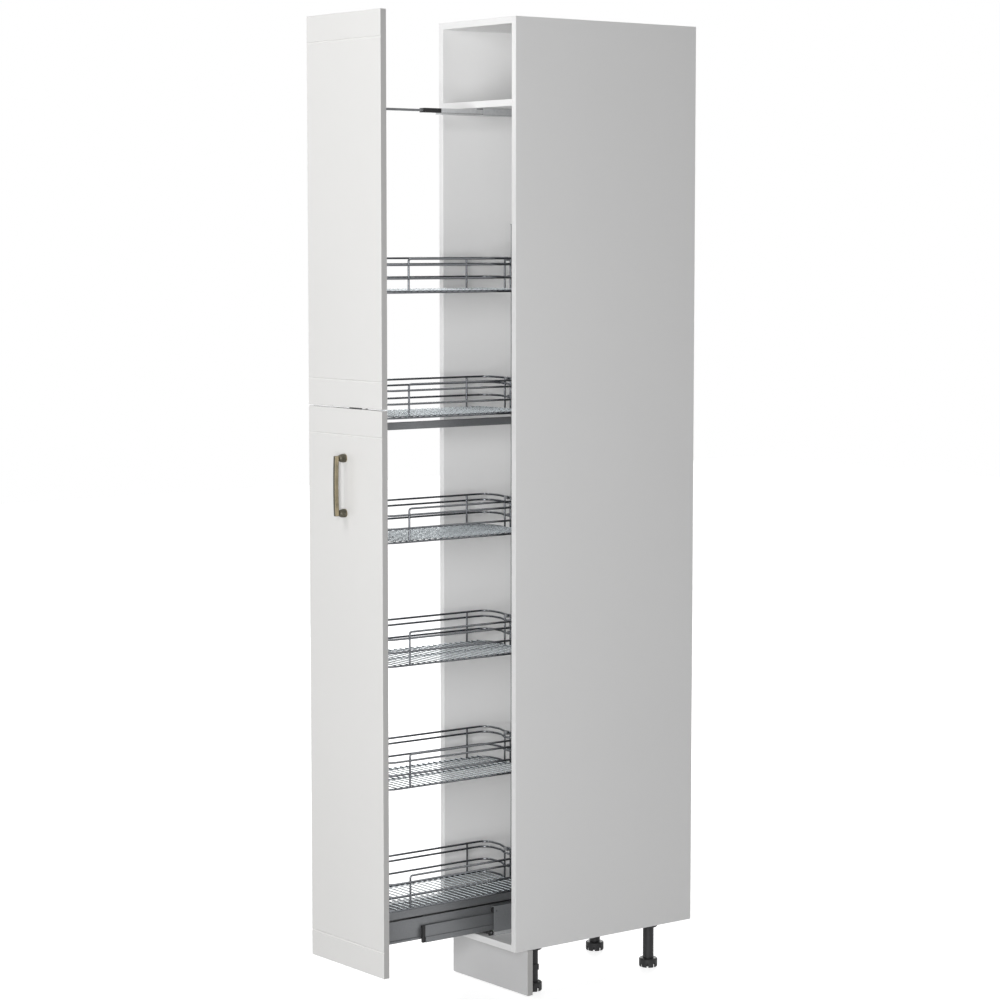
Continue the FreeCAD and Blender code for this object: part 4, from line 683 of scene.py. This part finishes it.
def tubes(paths, radius):
    """One mesh of round tubes with closed ends, along lists of points."""
    curve = bpy.data.curves.new("wires", "CURVE")
    curve.dimensions = "3D"
    curve.bevel_depth = radius
    curve.bevel_resolution = TUBE_ROUNDNESS
    curve.use_fill_caps = True
    for path in paths:
        spline = curve.splines.new("POLY")
        spline.points.add(len(path) - 1)
        for point, place in zip(spline.points, path):
            point.co = (*place, 1)
    holder = bpy.data.objects.new("wires", curve)
    link(holder)
    bpy.context.view_layer.update()
    mesh = bpy.data.meshes.new_from_object(holder)
    bpy.data.objects.remove(holder)
    bpy.data.curves.remove(curve)
    return mesh


def basket_frame():
    """Half width and half length of the rim's centre line, and the baskets' middle along Y."""
    low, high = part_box(BASKETS[0])
    half_width = (high.x - low.x) / 2 - WIRE - CROSS_PROUD
    half_length = (high.y - low.y) / 2 - WIRE
    return half_width, half_length, (low.y + high.y) / 2


def end_run(work, half_width, half_length, outward, level, run=RIM_CORNER, inset=0.0):
    """A wire round one end, from a run along each side, drawn in to the hanger."""
    x = half_width - inset
    end = outward * (half_length - inset)
    side = outward * (half_length - run)
    notch = outward * (half_length - HANGER_NOTCH)
    right = [Vector((x, side, level)), Vector((x, end, level)),
             Vector((half_width - 2 * RIM_CORNER, end, level)), Vector((HANGER_HALF, notch, level))]
    left = [Vector((-p.x, p.y, p.z)) for p in reversed(right)]
    corner = RIM_CORNER - inset
    work.run(right + left, WIRE, (corner, RIM_BEND, RIM_BEND, RIM_BEND, RIM_BEND, corner))


def rims(work, half_width, half_length):
    """Three closed rims: a wire round each end, and a straight one along each side."""
    straight = half_length - RIM_CORNER
    for level in RIM_LEVELS:
        for sign in (-1, 1):
            end_run(work, half_width, half_length, sign, level)
            x = sign * half_width
            work.run([Vector((x, -straight, level)), Vector((x, straight, level))], WIRE)


def raised_rails(work, half_width, half_length):
    """The side rails, which bend up at the front and run on round the rear end, with their stays."""
    front = RAIL_FRONT - half_length
    end_run(work, half_width, half_length, 1, RAIL_TOP, RAIL_RUN, RAIL_INSET)
    for sign in (-1, 1):
        x = sign * (half_width - RAIL_INSET)
        work.run([Vector((x, front, 0)), Vector((x, front, RAIL_TOP)),
                  Vector((x, half_length - RAIL_RUN, RAIL_TOP))], WIRE, (RAIL_BEND,))
        side_foot = Vector((x, half_length - RAIL_REAR, 0))
        end_foot = Vector((sign * HANGER_HALF, half_length - HANGER_NOTCH, 0))
        for foot in (side_foot, end_foot):
            work.run([foot, foot + Vector((0, 0, RAIL_TOP))], STAY_WIRE)


def rim_welds(work, half_width, half_length):
    """A bead where each rim meets a side rail, a stay or the front hanger."""
    for sign in (-1, 1):
        x = sign * (half_width - RAIL_INSET / 2)
        y = sign * (half_length - HANGER_NOTCH)
        for level in RIM_LEVELS:
            for depth in (RAIL_FRONT - half_length, half_length - RAIL_REAR):
                work.weld(Vector((x, depth, level)), WIRE)
            for across in (-HANGER_HALF, HANGER_HALF):
                work.weld(Vector((across, y, level)), WIRE)


def floor_wires(work, half_width, half_length):
    """The spine, and the thin wires across it, each welded on it and on the base rim."""
    notch = half_length - HANGER_NOTCH
    work.run([Vector((0, -notch, 0)), Vector((0, notch, 0))], STAY_WIRE)
    count = int((notch - 2 * WIRE) / CROSS_PITCH)
    for number in range(-count, count + 1):
        y = number * CROSS_PITCH
        inside = max(0.0, abs(y) - half_length + RIM_CORNER)
        rim = half_width - RIM_CORNER + math.sqrt(RIM_CORNER ** 2 - inside ** 2)
        end = rim + CROSS_PROUD + WIRE
        work.run([Vector((-end, y, CROSS_LEVEL)), Vector((end, y, CROSS_LEVEL))], THIN_WIRE)
        for x in (-rim, 0, rim):
            work.weld(Vector((x, y, (CROSS_LEVEL + WIRE) / 2)), THIN_WIRE)


def front_hanger(work, half_length):
    """The bent wire that hooks over the front post's hook."""
    y = HANGER_NOTCH - half_length
    work.run([Vector((-HANGER_HALF, y, 0)), Vector((-HANGER_HALF, y, RAIL_TOP)),
              Vector((HANGER_HALF, y, RAIL_TOP)), Vector((HANGER_HALF, y, 0))],
             WIRE, (HANGER_BEND, HANGER_BEND))


def basket_mesh(half_width, half_length):
    """One basket about its own middle, its base rim at z = 0."""
    work = Wirework()
    rims(work, half_width, half_length)
    floor_wires(work, half_width, half_length)
    front_hanger(work, half_length)
    raised_rails(work, half_width, half_length)
    rim_welds(work, half_width, half_length)
    return work.mesh("basket_wires")


def make_baskets(finishes):
    """A smooth basket in the place of each CAD one, riding on the pull-out."""
    half_width, half_length, middle = basket_frame()
    mesh = basket_mesh(half_width, half_length)
    mesh.materials.append(finishes["chrome_wire"])
    mesh.materials.append(finishes["chrome_floor"])
    for number, node in enumerate(BASKETS, start=1):
        copy = mesh.copy()
        copy.transform(Matrix.Translation((0, middle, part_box(node)[0].z + WIRE)))
        basket = bpy.data.objects.new(f"wire_basket_{number}", copy)
        link(basket)
        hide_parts(node)
        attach(basket, "pullout")
    bpy.data.meshes.remove(mesh)


# ---------------------------------------------------------------- making the scene

make_camera()
make_lights()
make_world()
make_floor()
FINISHES = {name: make() for name, make in LOOKS.items()}
dress_nodes(FINISHES)
make_baskets(FINISHES)

scene = bpy.context.scene
scene.view_settings.view_transform = "Standard"
